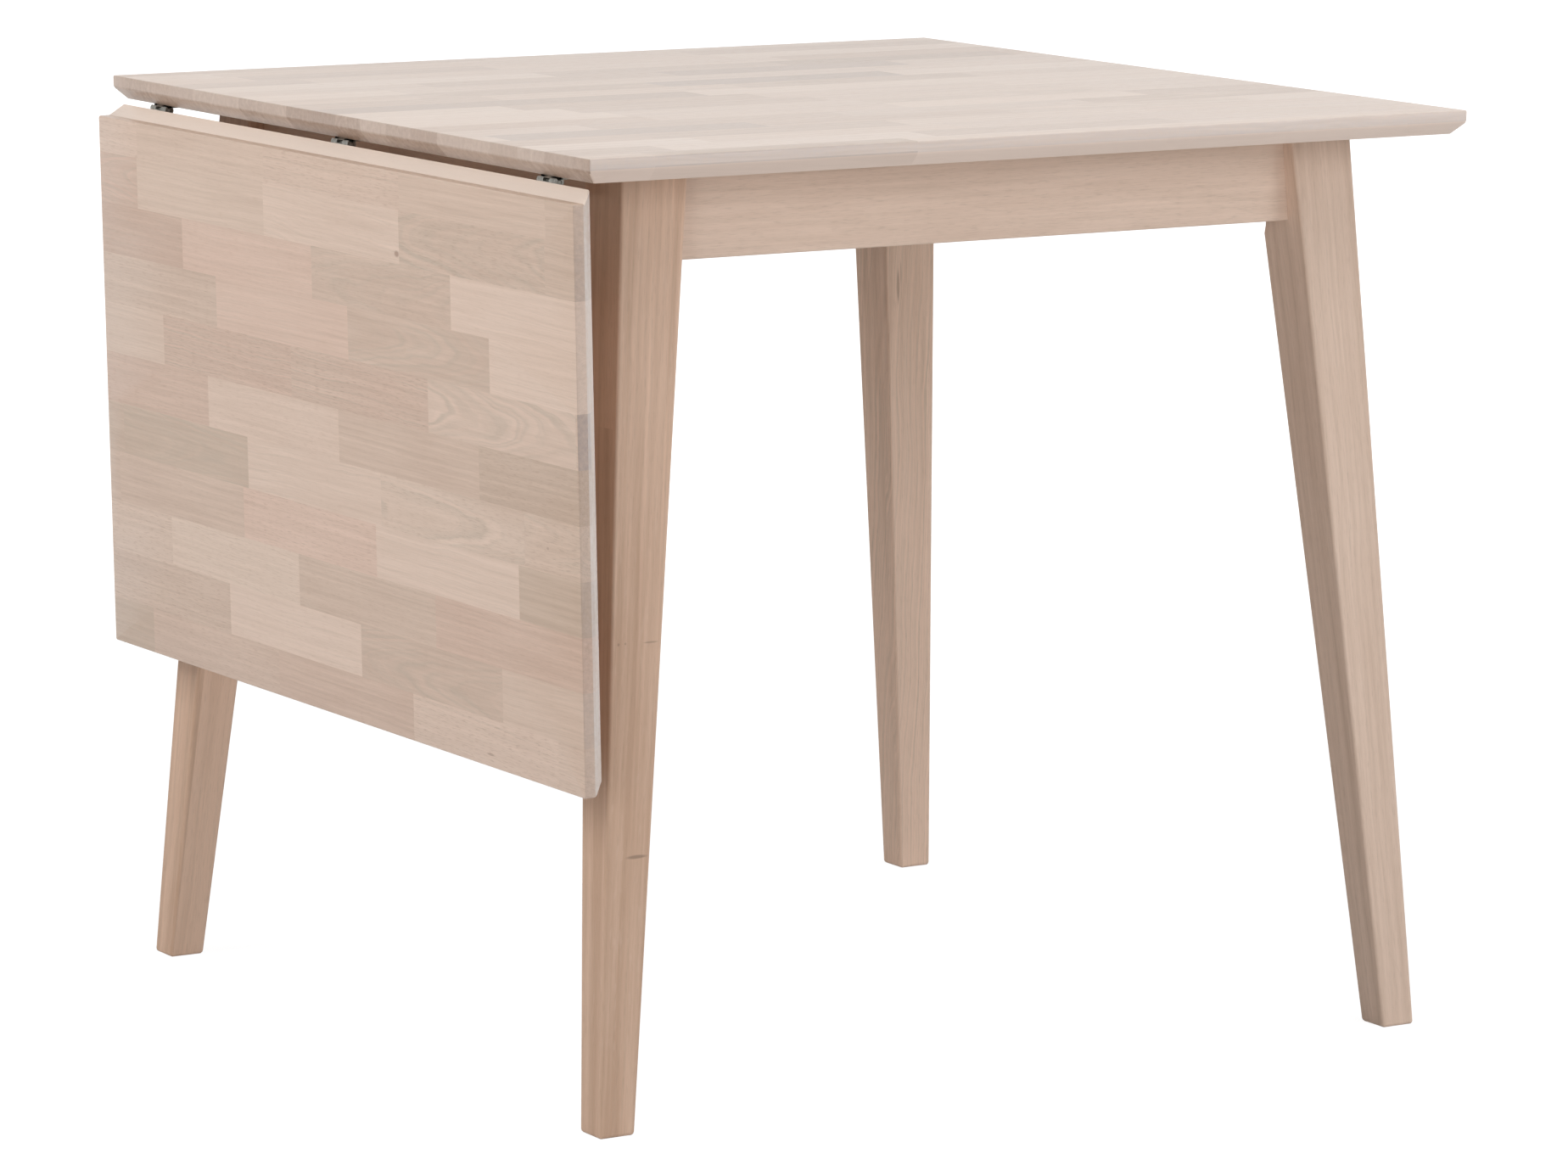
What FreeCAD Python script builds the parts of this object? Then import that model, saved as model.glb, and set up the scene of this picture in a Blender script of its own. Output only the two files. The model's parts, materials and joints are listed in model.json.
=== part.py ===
import FreeCAD, Part
import math
import os

# Drop-leaf table: a square top on four splayed legs, one leaf hanging from three hinges.
# Millimetres, +Z up. X runs across the hinge line, the leaf hangs on the -X side,
# and the origin is on the floor at the middle of the whole outline.

# Top and leaf
TOP_SIZE = 800.0
TOP_THICKNESS = 19.0
TABLE_HEIGHT = 743.0
LEAF_REACH = 443.0
BAND_HEIGHT = 9.5
BEVEL_INSET = 9.0
EDGE_EASE = 0.8
LEAF_GAP = 0.6
LEAF_HANG_ANGLE = 91.3

# Legs
LEG_INSET = 66.0
LEG_TOP_WIDTH = 57.0
FOOT_INSET = 20.0
FOOT_WIDTH = 30.5
LEG_EASE = 2.5
FOOT_EASE = 3.0
LEG_FLAT_LENGTH = 88.0

# Aprons and corner blocks
APRON_HEIGHT = 70.0
APRON_THICKNESS = 20.0
APRON_SETBACK = 13.0
APRON_EASE = 1.5
BLOCK_THICKNESS = 28.0
BLOCK_HEIGHT = 46.0
BLOCK_DROP = 12.0

# Leg bolts
BOLT_RADIUS = 4.0
BOLT_HOLE_SLACK = 0.5
BOLT_BITE = 36.0
BOLT_TAIL = 13.0
WASHER_RADIUS = 9.0
WASHER_THICKNESS = 1.6
NUT_ACROSS_FLATS = 13.0
NUT_THICKNESS = 6.5

# Hinges
HINGE_END_INSET = 74.0
HINGE_MIDDLE_OFFSET = 4.0
HINGE_WIDTH = 36.0
HINGE_WING = 38.0
HINGE_PLATE = 1.8
HINGE_DROP = 3.8
KNUCKLE_RADIUS = 3.4
HINGE_PIN_RADIUS = 1.7
HINGE_SCREW_INSET = 8.0
HINGE_SCREW_NEAR = 13.7
HINGE_SCREW_FAR = 28.9
KNUCKLE_COUNT = 3
KNUCKLE_GAP = 0.3
WING_CLEARANCE = 0.4

# Folding stays under the leaf
STAY_END_INSET = 230.0
STAY_PIVOT_OUT = 16.0
STAY_PIVOT_DROP = 43.0
STAY_LEAF_REACH = 150.0
STAY_LEAF_LIFT = 9.5
STAY_PLATE = 2.5
STAY_ARM_THICKNESS = 3.0
STAY_BAR_RADIUS = 7.0
STAY_FOOT_WIDTH = 26.0
STAY_FOOT_LENGTH = 36.0
STAY_SCREW_SPACING = 20.0
RIVET_RADIUS = 2.5
RIVET_HEAD_RADIUS = 4.6
RIVET_HEAD_HEIGHT = 1.5
STAY_SIDE_GAP = 0.3

# Angle brackets that hold the top down
ANGLE_WIDTH = 20.0
ANGLE_LEG = 24.0
ANGLE_PLATE = 2.0
ANGLE_SCREW_REACH = 14.4

# Wood screws
SCREW_RADIUS = 1.7
SCREW_HEAD_RADIUS = 3.3
SCREW_HEAD_HEIGHT = 1.6
SCREW_LENGTH = 14.0

# Sides of screws, bolts and nuts, and of rivet heads and washers
FASTENER_SIDES = 6
HEAD_SIDES = 12

# Closeness of two heights that count as one, and overrun of a cutter past a face
SAME_HEIGHT = 1e-6
OVERRUN = 1.0

# Fits
RUNNING_FIT = 0.05
SEAT_GAP = 0.02
SCREW_HOLE_SLACK = 0.2

# Places that follow from the sizes above
UNDERSIDE = TABLE_HEIGHT - TOP_THICKNESS
HALF_TOP = TOP_SIZE / 2
HANG_TILT = math.radians(LEAF_HANG_ANGLE - 90.0)
LEAF_STANDOFF = (
    (HINGE_DROP + TOP_THICKNESS) * math.cos(HANG_TILT)
    - (BEVEL_INSET + LEAF_GAP) * math.sin(HANG_TILT)
    - BEVEL_INSET
)
CENTRE_X = LEAF_STANDOFF / 2
TOP_EDGE_X = CENTRE_X - HALF_TOP
HINGE_X = TOP_EDGE_X + BEVEL_INSET
HINGE_Z = UNDERSIDE - HINGE_DROP
LEG_OUTER_TOP = HALF_TOP - LEG_INSET
LEG_OUTER_FOOT = HALF_TOP - FOOT_INSET
LEG_INNER_TOP = LEG_OUTER_TOP - LEG_TOP_WIDTH
LEG_INNER_FOOT = LEG_OUTER_FOOT - FOOT_WIDTH
LEG_INNER_SLOPE = (LEG_INNER_FOOT - LEG_INNER_TOP) / UNDERSIDE
LEG_TOP = UNDERSIDE - SEAT_GAP
APRON_FACE = LEG_OUTER_TOP - APRON_SETBACK
APRON_BACK = APRON_FACE - APRON_THICKNESS
APRON_BOTTOM = UNDERSIDE - APRON_HEIGHT
FLAT_SUM = 2 * (LEG_INNER_TOP + LEG_INNER_SLOPE * LEG_FLAT_LENGTH)
HINGE_PLACES = (HINGE_END_INSET - HALF_TOP, HINGE_MIDDLE_OFFSET, HALF_TOP - HINGE_END_INSET)
STAY_PLACE = HALF_TOP - STAY_END_INSET

Vector = FreeCAD.Vector
X_AXIS = Vector(1, 0, 0)
Y_AXIS = Vector(0, 1, 0)
Z_AXIS = Vector(0, 0, 1)
CENTRE = Vector(CENTRE_X, 0, 0)
HINGE_POINT = Vector(HINGE_X, 0, HINGE_Z)


def block(x0, x1, y0, y1, z0, z1):
    """Box between two corners."""
    return Part.makeBox(x1 - x0, y1 - y0, z1 - z0, Vector(x0, y0, z0))


def prism(corners, along):
    """Solid swept straight from a flat outline."""
    return Part.Face(Part.makePolygon(corners + corners[:1])).extrude(along)


def side_prism(outline):
    """Outline of (x, z) points swept along Y, past both ends of the top."""
    corners = [Vector(x, -TOP_SIZE, z) for x, z in outline]
    return prism(corners, Vector(0, 2 * TOP_SIZE, 0))


def end_prism(outline):
    """Outline of (y, z) points swept along X, past both ends of top and leaf."""
    corners = [Vector(-2 * TOP_SIZE, y, z) for y, z in outline]
    return prism(corners, Vector(4 * TOP_SIZE, 0, 0))


def joined(shapes):
    """One solid from touching shapes."""
    result = shapes[0]
    for shape in shapes[1:]:
        result = result.fuse(shape)
    return result.removeSplitter()


def edges_where(shape, test):
    """Edges whose middle passes a test."""
    chosen = []
    for edge in shape.Edges:
        middle = edge.valueAt((edge.FirstParameter + edge.LastParameter) / 2)
        if test(middle):
            chosen.append(edge)
    return chosen


def ring(radius, sides, z):
    """Corners of an even-sided outline at one height."""
    step = 2 * math.pi / sides
    return [Vector(radius * math.cos(i * step), radius * math.sin(i * step), z) for i in range(sides)]


def aimed(shape, place, direction):
    """Copy of a shape drawn along +Z, turned to a direction and set in place."""
    turned = shape.copy()
    turned.Placement = FreeCAD.Placement(place, FreeCAD.Rotation(Z_AXIS, direction))
    return turned


def hung(shape):
    """Copy of a leaf shape swung from level down to its hanging place."""
    copy = shape.copy()
    copy.rotate(HINGE_POINT, Y_AXIS, -LEAF_HANG_ANGLE)
    return copy


def quarter(shape, turns):
    """Copy of a frame shape turned about the middle of the top by quarter turns."""
    copy = shape.copy()
    copy.rotate(CENTRE, Z_AXIS, 90.0 * turns)
    return copy


def mirrored(shape):
    """Copy of a shape on the other side of the table's middle line."""
    return shape.mirror(Vector(0, 0, 0), Y_AXIS)


def panel(x0, x1, lower_x0, lower_x1):
    """Flat panel with upright bands and slopes under its edges."""
    band_z = TABLE_HEIGHT - BAND_HEIGHT
    across = side_prism([
        (x0, TABLE_HEIGHT), (x0, band_z), (lower_x0, UNDERSIDE),
        (lower_x1, UNDERSIDE), (x1, band_z), (x1, TABLE_HEIGHT),
    ])
    lower_y = HALF_TOP - BEVEL_INSET
    along = end_prism([
        (-HALF_TOP, TABLE_HEIGHT), (-HALF_TOP, band_z), (-lower_y, UNDERSIDE),
        (lower_y, UNDERSIDE), (HALF_TOP, band_z), (HALF_TOP, TABLE_HEIGHT),
    ])
    solid = across.common(along)
    rim = edges_where(solid, lambda p: abs(p.z - TABLE_HEIGHT) < SAME_HEIGHT)
    return solid.makeFillet(EDGE_EASE, rim)


def top_panel():
    """Fixed top."""
    far = CENTRE_X + HALF_TOP
    return panel(TOP_EDGE_X, far, TOP_EDGE_X + BEVEL_INSET, far - BEVEL_INSET)


def leaf_panel():
    """Leaf, whose hinge edge reaches under the slope of the top's edge."""
    inner = TOP_EDGE_X - LEAF_GAP
    outer = inner - LEAF_REACH
    return hung(panel(outer, inner, outer + BEVEL_INSET, inner + BEVEL_INSET))


def leg():
    """Tapered and splayed leg, with a flat across its inner corner behind the aprons."""
    taper = [
        (LEG_INNER_FOOT, 0), (LEG_OUTER_FOOT, 0),
        (LEG_OUTER_TOP, UNDERSIDE), (LEG_INNER_TOP, UNDERSIDE),
    ]
    solid = side_prism([(CENTRE_X + x, z) for x, z in taper]).common(end_prism(taper))
    solid = solid.common(block(-TOP_SIZE, TOP_SIZE, -TOP_SIZE, TOP_SIZE, 0, LEG_TOP))
    sole = edges_where(solid, lambda p: p.z < SAME_HEIGHT)
    solid = solid.makeChamfer(FOOT_EASE, sole)
    flat = FLAT_SUM / 2
    inside = prism([
        Vector(CENTRE_X + flat - TOP_SIZE, flat + TOP_SIZE, 0),
        Vector(CENTRE_X + flat + TOP_SIZE, flat - TOP_SIZE, 0),
        Vector(CENTRE_X - TOP_SIZE, -TOP_SIZE, 0),
    ], Vector(0, 0, TABLE_HEIGHT))
    arrises = edges_where(solid, lambda p: FOOT_EASE + SAME_HEIGHT < p.z < LEG_TOP - SAME_HEIGHT)
    return solid.makeFillet(LEG_EASE, arrises).cut(inside)


def apron():
    """Board between two legs on the +X side, with ends cut to the slope of the legs."""
    top = LEG_INNER_TOP + LEG_INNER_SLOPE * SEAT_GAP - SEAT_GAP
    bottom = LEG_INNER_TOP + LEG_INNER_SLOPE * APRON_HEIGHT - SEAT_GAP
    corners = [(-bottom, APRON_BOTTOM), (bottom, APRON_BOTTOM), (top, LEG_TOP), (-top, LEG_TOP)]
    x0 = CENTRE_X + APRON_BACK
    solid = prism([Vector(x0, y, z) for y, z in corners], Vector(APRON_THICKNESS, 0, 0))
    lower = edges_where(solid, lambda p: p.z < APRON_BOTTOM + SAME_HEIGHT and abs(p.y) < top)
    return solid.makeFillet(APRON_EASE, lower)


def bolt_middle():
    """Point where a leg bolt crosses the leg's flat, and the outward direction of the bolt."""
    drop = BLOCK_DROP + BLOCK_HEIGHT / 2
    place = Vector(CENTRE_X + FLAT_SUM / 2, FLAT_SUM / 2, UNDERSIDE - drop)
    return place, Vector(1, 1, 0).normalize()


def bolt_hole(slack, length):
    """Cutter along +Z whose flat sides clear the bolt."""
    radius = (BOLT_RADIUS + slack) / math.cos(math.pi / FASTENER_SIDES)
    return prism(ring(radius, FASTENER_SIDES, 0), Z_AXIS * length)


def corner_block():
    """Diagonal block between two aprons, bearing on the leg's flat and bored for its bolt."""
    limit = APRON_BACK - SEAT_GAP
    front = FLAT_SUM - SEAT_GAP * math.sqrt(2)
    back = front - BLOCK_THICKNESS * math.sqrt(2)
    z0 = UNDERSIDE - BLOCK_DROP - BLOCK_HEIGHT
    outline = [(limit, front - limit), (front - limit, limit), (back - limit, limit), (limit, back - limit)]
    corners = [Vector(CENTRE_X + x, y, z0) for x, y in outline]
    solid = prism(corners, Z_AXIS * BLOCK_HEIGHT)
    place, outward = bolt_middle()
    bore = bolt_hole(BOLT_HOLE_SLACK, BLOCK_THICKNESS + 2 * OVERRUN)
    return solid.cut(aimed(bore, place + outward * OVERRUN, outward * -1))


def leg_bolt():
    """Headless bolt that screws into the leg."""
    length = BOLT_BITE + BLOCK_THICKNESS + BOLT_TAIL
    place, outward = bolt_middle()
    start = place - outward * (BLOCK_THICKNESS + BOLT_TAIL)
    return aimed(prism(ring(BOLT_RADIUS, FASTENER_SIDES, 0), Z_AXIS * length), start, outward)


def leg_washer():
    """Washer against the inner side of the corner block."""
    disc = prism(ring(WASHER_RADIUS, HEAD_SIDES, 0), Z_AXIS * WASHER_THICKNESS)
    hole = bolt_hole(BOLT_HOLE_SLACK, WASHER_THICKNESS)
    place, outward = bolt_middle()
    start = place - outward * (BLOCK_THICKNESS + WASHER_THICKNESS + 2 * SEAT_GAP)
    return aimed(disc.cut(hole), start, outward)


def leg_nut():
    """Six-sided nut on the bolt's tail."""
    radius = NUT_ACROSS_FLATS / 2 / math.cos(math.pi / FASTENER_SIDES)
    body = prism(ring(radius, FASTENER_SIDES, 0), Z_AXIS * NUT_THICKNESS)
    hole = bolt_hole(RUNNING_FIT, NUT_THICKNESS)
    place, outward = bolt_middle()
    start = place - outward * (BLOCK_THICKNESS + WASHER_THICKNESS + NUT_THICKNESS + 3 * SEAT_GAP)
    return aimed(body.cut(hole), start, outward)


def spindle(stations):
    """Many-sided solid along +Z through (radius, height) stations."""
    rings = [ring(radius, FASTENER_SIDES, z) for radius, z in stations]
    faces = [Part.Face(Part.makePolygon(end + end[:1])) for end in (rings[0], rings[-1])]
    for lower, upper in zip(rings, rings[1:]):
        for i in range(FASTENER_SIDES):
            j = (i + 1) % FASTENER_SIDES
            faces.append(Part.Face(Part.makePolygon([lower[i], lower[j], upper[j], upper[i], lower[i]])))
    return Part.Solid(Part.Shell(faces))


def screw():
    """Countersunk wood screw, head face at the origin and end along +Z."""
    return spindle([
        (SCREW_HEAD_RADIUS, 0),
        (SCREW_RADIUS, SCREW_HEAD_HEIGHT),
        (SCREW_RADIUS, SCREW_LENGTH),
    ])


def screw_hole():
    """Countersunk hole that fits the screw through a metal plate."""
    rim = SCREW_HEAD_RADIUS + SEAT_GAP
    shank = SCREW_RADIUS + SCREW_HOLE_SLACK
    flare = (rim - shank) / SCREW_HEAD_HEIGHT
    return spindle([
        (rim + flare * OVERRUN, -OVERRUN),
        (shank, SCREW_HEAD_HEIGHT),
        (shank, SCREW_LENGTH),
    ])


def drilled(shape, seats):
    """Plate with a countersunk hole at each screw seat."""
    for place, direction in seats:
        shape = shape.cut(aimed(screw_hole(), place, direction))
    return shape


def screws(seats):
    """One screw at each seat."""
    return [aimed(screw(), place, direction) for place, direction in seats]


def wing_seats(side, y):
    """Screw seats of one hinge wing; side is +1 under the top and -1 under the level leaf."""
    z = UNDERSIDE - SEAT_GAP - HINGE_PLATE
    spread = HINGE_WIDTH / 2 - HINGE_SCREW_INSET
    near = HINGE_X + side * HINGE_SCREW_NEAR
    far = HINGE_X + side * HINGE_SCREW_FAR
    return [
        (Vector(near, y - spread, z), Z_AXIS),
        (Vector(near, y + spread, z), Z_AXIS),
        (Vector(far, y, z), Z_AXIS),
    ]


def hinge_wing(side, y, rolls):
    """Flat wing with rolled knuckles; rolls lists the knuckles that this wing carries."""
    z1 = UNDERSIDE - SEAT_GAP
    z0 = z1 - HINGE_PLATE
    half = HINGE_WIDTH / 2
    start = HINGE_X + side * (KNUCKLE_RADIUS + WING_CLEARANCE)
    end = HINGE_X + side * HINGE_WING
    pieces = [block(min(start, end), max(start, end), y - half, y + half, z0, z1)]
    pitch = HINGE_WIDTH / KNUCKLE_COUNT
    for index in rolls:
        y0 = y - half + index * pitch
        y1 = y0 + pitch
        if index > 0:
            y0 += KNUCKLE_GAP / 2
        if index < KNUCKLE_COUNT - 1:
            y1 -= KNUCKLE_GAP / 2
        pieces.append(Part.makeCylinder(KNUCKLE_RADIUS, y1 - y0, Vector(HINGE_X, y0, HINGE_Z), Y_AXIS))
        root = HINGE_X + side * KNUCKLE_GAP
        pieces.append(block(min(root, start), max(root, start), y0, y1, z0, z1))
    solid = joined(pieces)
    radius = HINGE_PIN_RADIUS if side > 0 else HINGE_PIN_RADIUS + RUNNING_FIT
    bore_start = Vector(HINGE_X, y - half - OVERRUN, HINGE_Z)
    bore = Part.makeCylinder(radius, HINGE_WIDTH + 2 * OVERRUN, bore_start, Y_AXIS)
    return drilled(solid.cut(bore), wing_seats(side, y))


def hinge_pin(y):
    """Pin through the knuckles."""
    return Part.makeCylinder(
        HINGE_PIN_RADIUS, HINGE_WIDTH, Vector(HINGE_X, y - HINGE_WIDTH / 2, HINGE_Z), Y_AXIS
    )


def swung(point):
    """Place of a point of the level leaf once the leaf hangs."""
    turn = FreeCAD.Rotation(Y_AXIS, -LEAF_HANG_ANGLE)
    return HINGE_POINT + turn.multVec(point - HINGE_POINT)


# Pivots of a stay with the leaf hanging. The four pivots make a parallelogram with the hinge
# axis, so the arm turns with the leaf and the link keeps its direction.
APRON_PIVOT = Vector(CENTRE_X - APRON_FACE - STAY_PIVOT_OUT, 0, HINGE_Z - STAY_PIVOT_DROP)
LEAF_PIVOT_LEVEL = Vector(HINGE_X - STAY_LEAF_REACH, 0, UNDERSIDE - STAY_LEAF_LIFT)
LEAF_PIVOT = swung(LEAF_PIVOT_LEVEL)
KNEE_PIVOT = APRON_PIVOT + LEAF_PIVOT - HINGE_POINT

# Layers of a stay along Y: brackets and link in one, arm and leaf ear in the next.
INNER_LAYER = (STAY_PLACE, STAY_PLACE + STAY_PLATE)
OUTER_START = STAY_PLACE + STAY_PLATE + STAY_SIDE_GAP
ARM_LAYER = (OUTER_START, OUTER_START + STAY_ARM_THICKNESS)
EAR_LAYER = (OUTER_START, OUTER_START + STAY_PLATE)


def at_y(point, y):
    """Pivot moved along the hinge line."""
    return Vector(point.x, y, point.z)


def pivot_bore(point, slack):
    """Cutter for a rivet hole."""
    return Part.makeCylinder(RIVET_RADIUS + slack, TOP_SIZE, at_y(point, 0), Y_AXIS)


def bar(start, end, layer, start_slack, end_slack):
    """Flat bar with round ends and a rivet hole at each end."""
    along = (end - start).normalize()
    across = Vector(along.z, 0, -along.x) * STAY_BAR_RADIUS
    p = at_y(start, layer[0])
    q = at_y(end, layer[0])
    outline = [
        Part.LineSegment(p + across, q + across).toShape(),
        Part.Arc(q + across, q + along * STAY_BAR_RADIUS, q - across).toShape(),
        Part.LineSegment(q - across, p - across).toShape(),
        Part.Arc(p - across, p - along * STAY_BAR_RADIUS, p + across).toShape(),
    ]
    solid = Part.Face(Part.Wire(outline)).extrude(Y_AXIS * (layer[1] - layer[0]))
    return solid.cut(pivot_bore(start, start_slack)).cut(pivot_bore(end, end_slack))


def rivet(point, y0, y1):
    """Rivet with a flat head at each end of its shank."""
    shank = Part.makeCylinder(RIVET_RADIUS, y1 - y0, at_y(point, y0), Y_AXIS)
    head = prism(ring(RIVET_HEAD_RADIUS, HEAD_SIDES, 0), Z_AXIS * RIVET_HEAD_HEIGHT)
    first = aimed(head, at_y(point, y0 - RIVET_HEAD_HEIGHT), Y_AXIS)
    last = aimed(head, at_y(point, y1), Y_AXIS)
    return joined([shank, first, last])


def apron_bracket_seats():
    """Screw seats of a stay's bracket on the apron."""
    x = CENTRE_X - APRON_FACE - SEAT_GAP - STAY_PLATE
    y = STAY_PLACE - STAY_FOOT_WIDTH / 2
    half = STAY_SCREW_SPACING / 2
    return [(Vector(x, y, APRON_PIVOT.z + offset), X_AXIS) for offset in (-half, half)]


def apron_bracket():
    """Bracket on the outer face of the hinge-side apron, with an ear for the arm."""
    x1 = CENTRE_X - APRON_FACE - SEAT_GAP
    x0 = x1 - STAY_PLATE
    z = APRON_PIVOT.z
    y0, y1 = INNER_LAYER
    half = STAY_FOOT_LENGTH / 2
    plate = block(x0, x1, y0 - STAY_FOOT_WIDTH + STAY_PLATE, y1, z - half, z + half)
    ear = block(APRON_PIVOT.x, x1, y0, y1, z - STAY_BAR_RADIUS, z + STAY_BAR_RADIUS)
    tip = Part.makeCylinder(STAY_BAR_RADIUS, STAY_PLATE, at_y(APRON_PIVOT, y0), Y_AXIS)
    solid = joined([plate, ear, tip]).cut(pivot_bore(APRON_PIVOT, 0))
    return drilled(solid, apron_bracket_seats())


def leaf_bracket_seats():
    """Screw seats of a stay's bracket under the level leaf."""
    z = UNDERSIDE - SEAT_GAP - STAY_PLATE
    y = EAR_LAYER[0] + STAY_FOOT_WIDTH / 2
    half = STAY_SCREW_SPACING / 2
    return [(Vector(LEAF_PIVOT_LEVEL.x + offset, y, z), Z_AXIS) for offset in (-half, half)]


def leaf_bracket():
    """Bracket under the level leaf, with an ear for the link."""
    z1 = UNDERSIDE - SEAT_GAP
    z0 = z1 - STAY_PLATE
    x = LEAF_PIVOT_LEVEL.x
    y0, y1 = EAR_LAYER
    half = STAY_FOOT_LENGTH / 2
    plate = block(x - half, x + half, y0, y0 + STAY_FOOT_WIDTH, z0, z1)
    ear = block(x - STAY_BAR_RADIUS, x + STAY_BAR_RADIUS, y0, y1, LEAF_PIVOT_LEVEL.z, z1)
    tip = Part.makeCylinder(STAY_BAR_RADIUS, STAY_PLATE, at_y(LEAF_PIVOT_LEVEL, y0), Y_AXIS)
    solid = joined([plate, ear, tip]).cut(pivot_bore(LEAF_PIVOT_LEVEL, 0))
    return drilled(solid, leaf_bracket_seats())


def stay_pieces():
    """Pieces of one stay on the +Y side, by name."""
    inner0, inner1 = INNER_LAYER
    return {
        "apron_bracket": apron_bracket(),
        "arm": bar(APRON_PIVOT, KNEE_PIVOT, ARM_LAYER, RUNNING_FIT, 0),
        "link": bar(KNEE_PIVOT, LEAF_PIVOT, INNER_LAYER, RUNNING_FIT, RUNNING_FIT),
        "leaf_bracket": hung(leaf_bracket()),
        "apron_rivet": rivet(APRON_PIVOT, inner0, ARM_LAYER[1] + STAY_SIDE_GAP),
        "knee_rivet": rivet(KNEE_PIVOT, inner0 - STAY_SIDE_GAP, ARM_LAYER[1]),
        "leaf_rivet": rivet(LEAF_PIVOT, inner0 - STAY_SIDE_GAP, EAR_LAYER[1]),
    }


def angle_seats():
    """Screw seats of an angle bracket: into the apron, then up into the top."""
    face = CENTRE_X + APRON_BACK - SEAT_GAP
    under = UNDERSIDE - SEAT_GAP
    return [
        (Vector(face - ANGLE_PLATE, 0, under - ANGLE_SCREW_REACH), X_AXIS),
        (Vector(face - ANGLE_SCREW_REACH, 0, under - ANGLE_PLATE), Z_AXIS),
    ]


def angle_bracket():
    """Right-angled strip in the corner between the middle of an apron and the top."""
    face = CENTRE_X + APRON_BACK - SEAT_GAP
    under = UNDERSIDE - SEAT_GAP
    half = ANGLE_WIDTH / 2
    upright = block(face - ANGLE_PLATE, face, -half, half, under - ANGLE_LEG, under)
    level = block(face - ANGLE_LEG, face, -half, half, under - ANGLE_PLATE, under)
    return drilled(joined([upright, level]), angle_seats())


def build():
    """Every piece of the table by name."""
    parts = {"top_panel": top_panel(), "leaf_panel": leaf_panel()}
    corners = ("back_right", "back_left", "front_left", "front_right")
    sides = ("right", "back", "left", "front")
    for turns, name in enumerate(corners):
        parts["leg_" + name] = quarter(leg(), turns)
        parts["corner_block_" + name] = quarter(corner_block(), turns)
    for turns, name in enumerate(sides):
        parts["apron_" + name] = quarter(apron(), turns)
    repeated = {
        "leg_bolts": [leg_bolt()],
        "leg_washers": [leg_washer()],
        "leg_nuts": [leg_nut()],
        "top_brackets": [angle_bracket()],
        "top_bracket_screws": screws(angle_seats()),
    }
    for name, pieces in repeated.items():
        parts[name] = Part.makeCompound([quarter(piece, turns) for turns in range(4) for piece in pieces])

    top_screws = []
    leaf_screws = []
    for y, name in zip(HINGE_PLACES, ("front", "middle", "back")):
        parts["hinge_" + name + "_top_wing"] = hinge_wing(1, y, (0, 2))
        parts["hinge_" + name + "_leaf_wing"] = hung(hinge_wing(-1, y, (1,)))
        parts["hinge_" + name + "_pin"] = hinge_pin(y)
        top_screws += screws(wing_seats(1, y))
        leaf_screws += [hung(item) for item in screws(wing_seats(-1, y))]
    parts["hinge_top_screws"] = Part.makeCompound(top_screws)
    parts["hinge_leaf_screws"] = Part.makeCompound(leaf_screws)

    for name, piece in stay_pieces().items():
        parts["stay_back_" + name] = piece
        parts["stay_front_" + name] = mirrored(piece)
    apron_screws = screws(apron_bracket_seats())
    leaf_side = [hung(item) for item in screws(leaf_bracket_seats())]
    parts["stay_apron_screws"] = Part.makeCompound(apron_screws + [mirrored(s) for s in apron_screws])
    parts["stay_leaf_screws"] = Part.makeCompound(leaf_side + [mirrored(s) for s in leaf_side])
    return parts


os.makedirs("parts", exist_ok=True)
for part_name, shape in build().items():
    shape.exportStep("parts/" + part_name + ".step")
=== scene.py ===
"""Finishes and fine pieces of a drop-leaf oak table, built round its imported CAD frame.

Metres, +Z up. The leaf hangs on the -X side, the front is -Y, and the floor is at Z = 0.
"""

import json
import logging
import math
import random
from collections.abc import Callable, Iterator, Sequence
from contextlib import contextmanager
from dataclasses import dataclass, field
from enum import Enum

import bmesh
import bpy
import numpy as np
from mathutils import Matrix, Vector

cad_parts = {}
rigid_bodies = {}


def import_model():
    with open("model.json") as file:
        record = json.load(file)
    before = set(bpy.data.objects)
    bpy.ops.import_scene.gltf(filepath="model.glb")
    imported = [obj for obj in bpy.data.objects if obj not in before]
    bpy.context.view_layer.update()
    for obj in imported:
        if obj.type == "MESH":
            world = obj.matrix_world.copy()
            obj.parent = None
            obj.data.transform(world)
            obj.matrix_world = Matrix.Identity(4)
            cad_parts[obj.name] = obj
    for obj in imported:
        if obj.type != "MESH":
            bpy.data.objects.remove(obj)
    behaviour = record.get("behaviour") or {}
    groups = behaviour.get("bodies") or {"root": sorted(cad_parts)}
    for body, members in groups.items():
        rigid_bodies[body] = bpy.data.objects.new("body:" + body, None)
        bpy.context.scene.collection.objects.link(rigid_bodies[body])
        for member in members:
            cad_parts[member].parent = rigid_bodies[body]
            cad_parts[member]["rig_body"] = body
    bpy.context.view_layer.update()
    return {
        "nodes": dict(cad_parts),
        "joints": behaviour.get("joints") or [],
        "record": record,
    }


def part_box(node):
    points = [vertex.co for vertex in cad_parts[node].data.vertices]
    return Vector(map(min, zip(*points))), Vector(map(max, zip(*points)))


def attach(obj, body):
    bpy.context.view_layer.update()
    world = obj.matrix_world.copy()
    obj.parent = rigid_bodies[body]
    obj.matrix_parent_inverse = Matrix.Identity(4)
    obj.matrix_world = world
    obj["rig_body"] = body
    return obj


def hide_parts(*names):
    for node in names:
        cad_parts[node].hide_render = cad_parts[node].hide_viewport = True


LOG = logging.getLogger("drop_leaf_table")
HAIR = 1e-5
SQUARE_ON = 0.9
ROUND_ANGLE = 32.0
QUARTER_TURN = math.pi / 2

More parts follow.
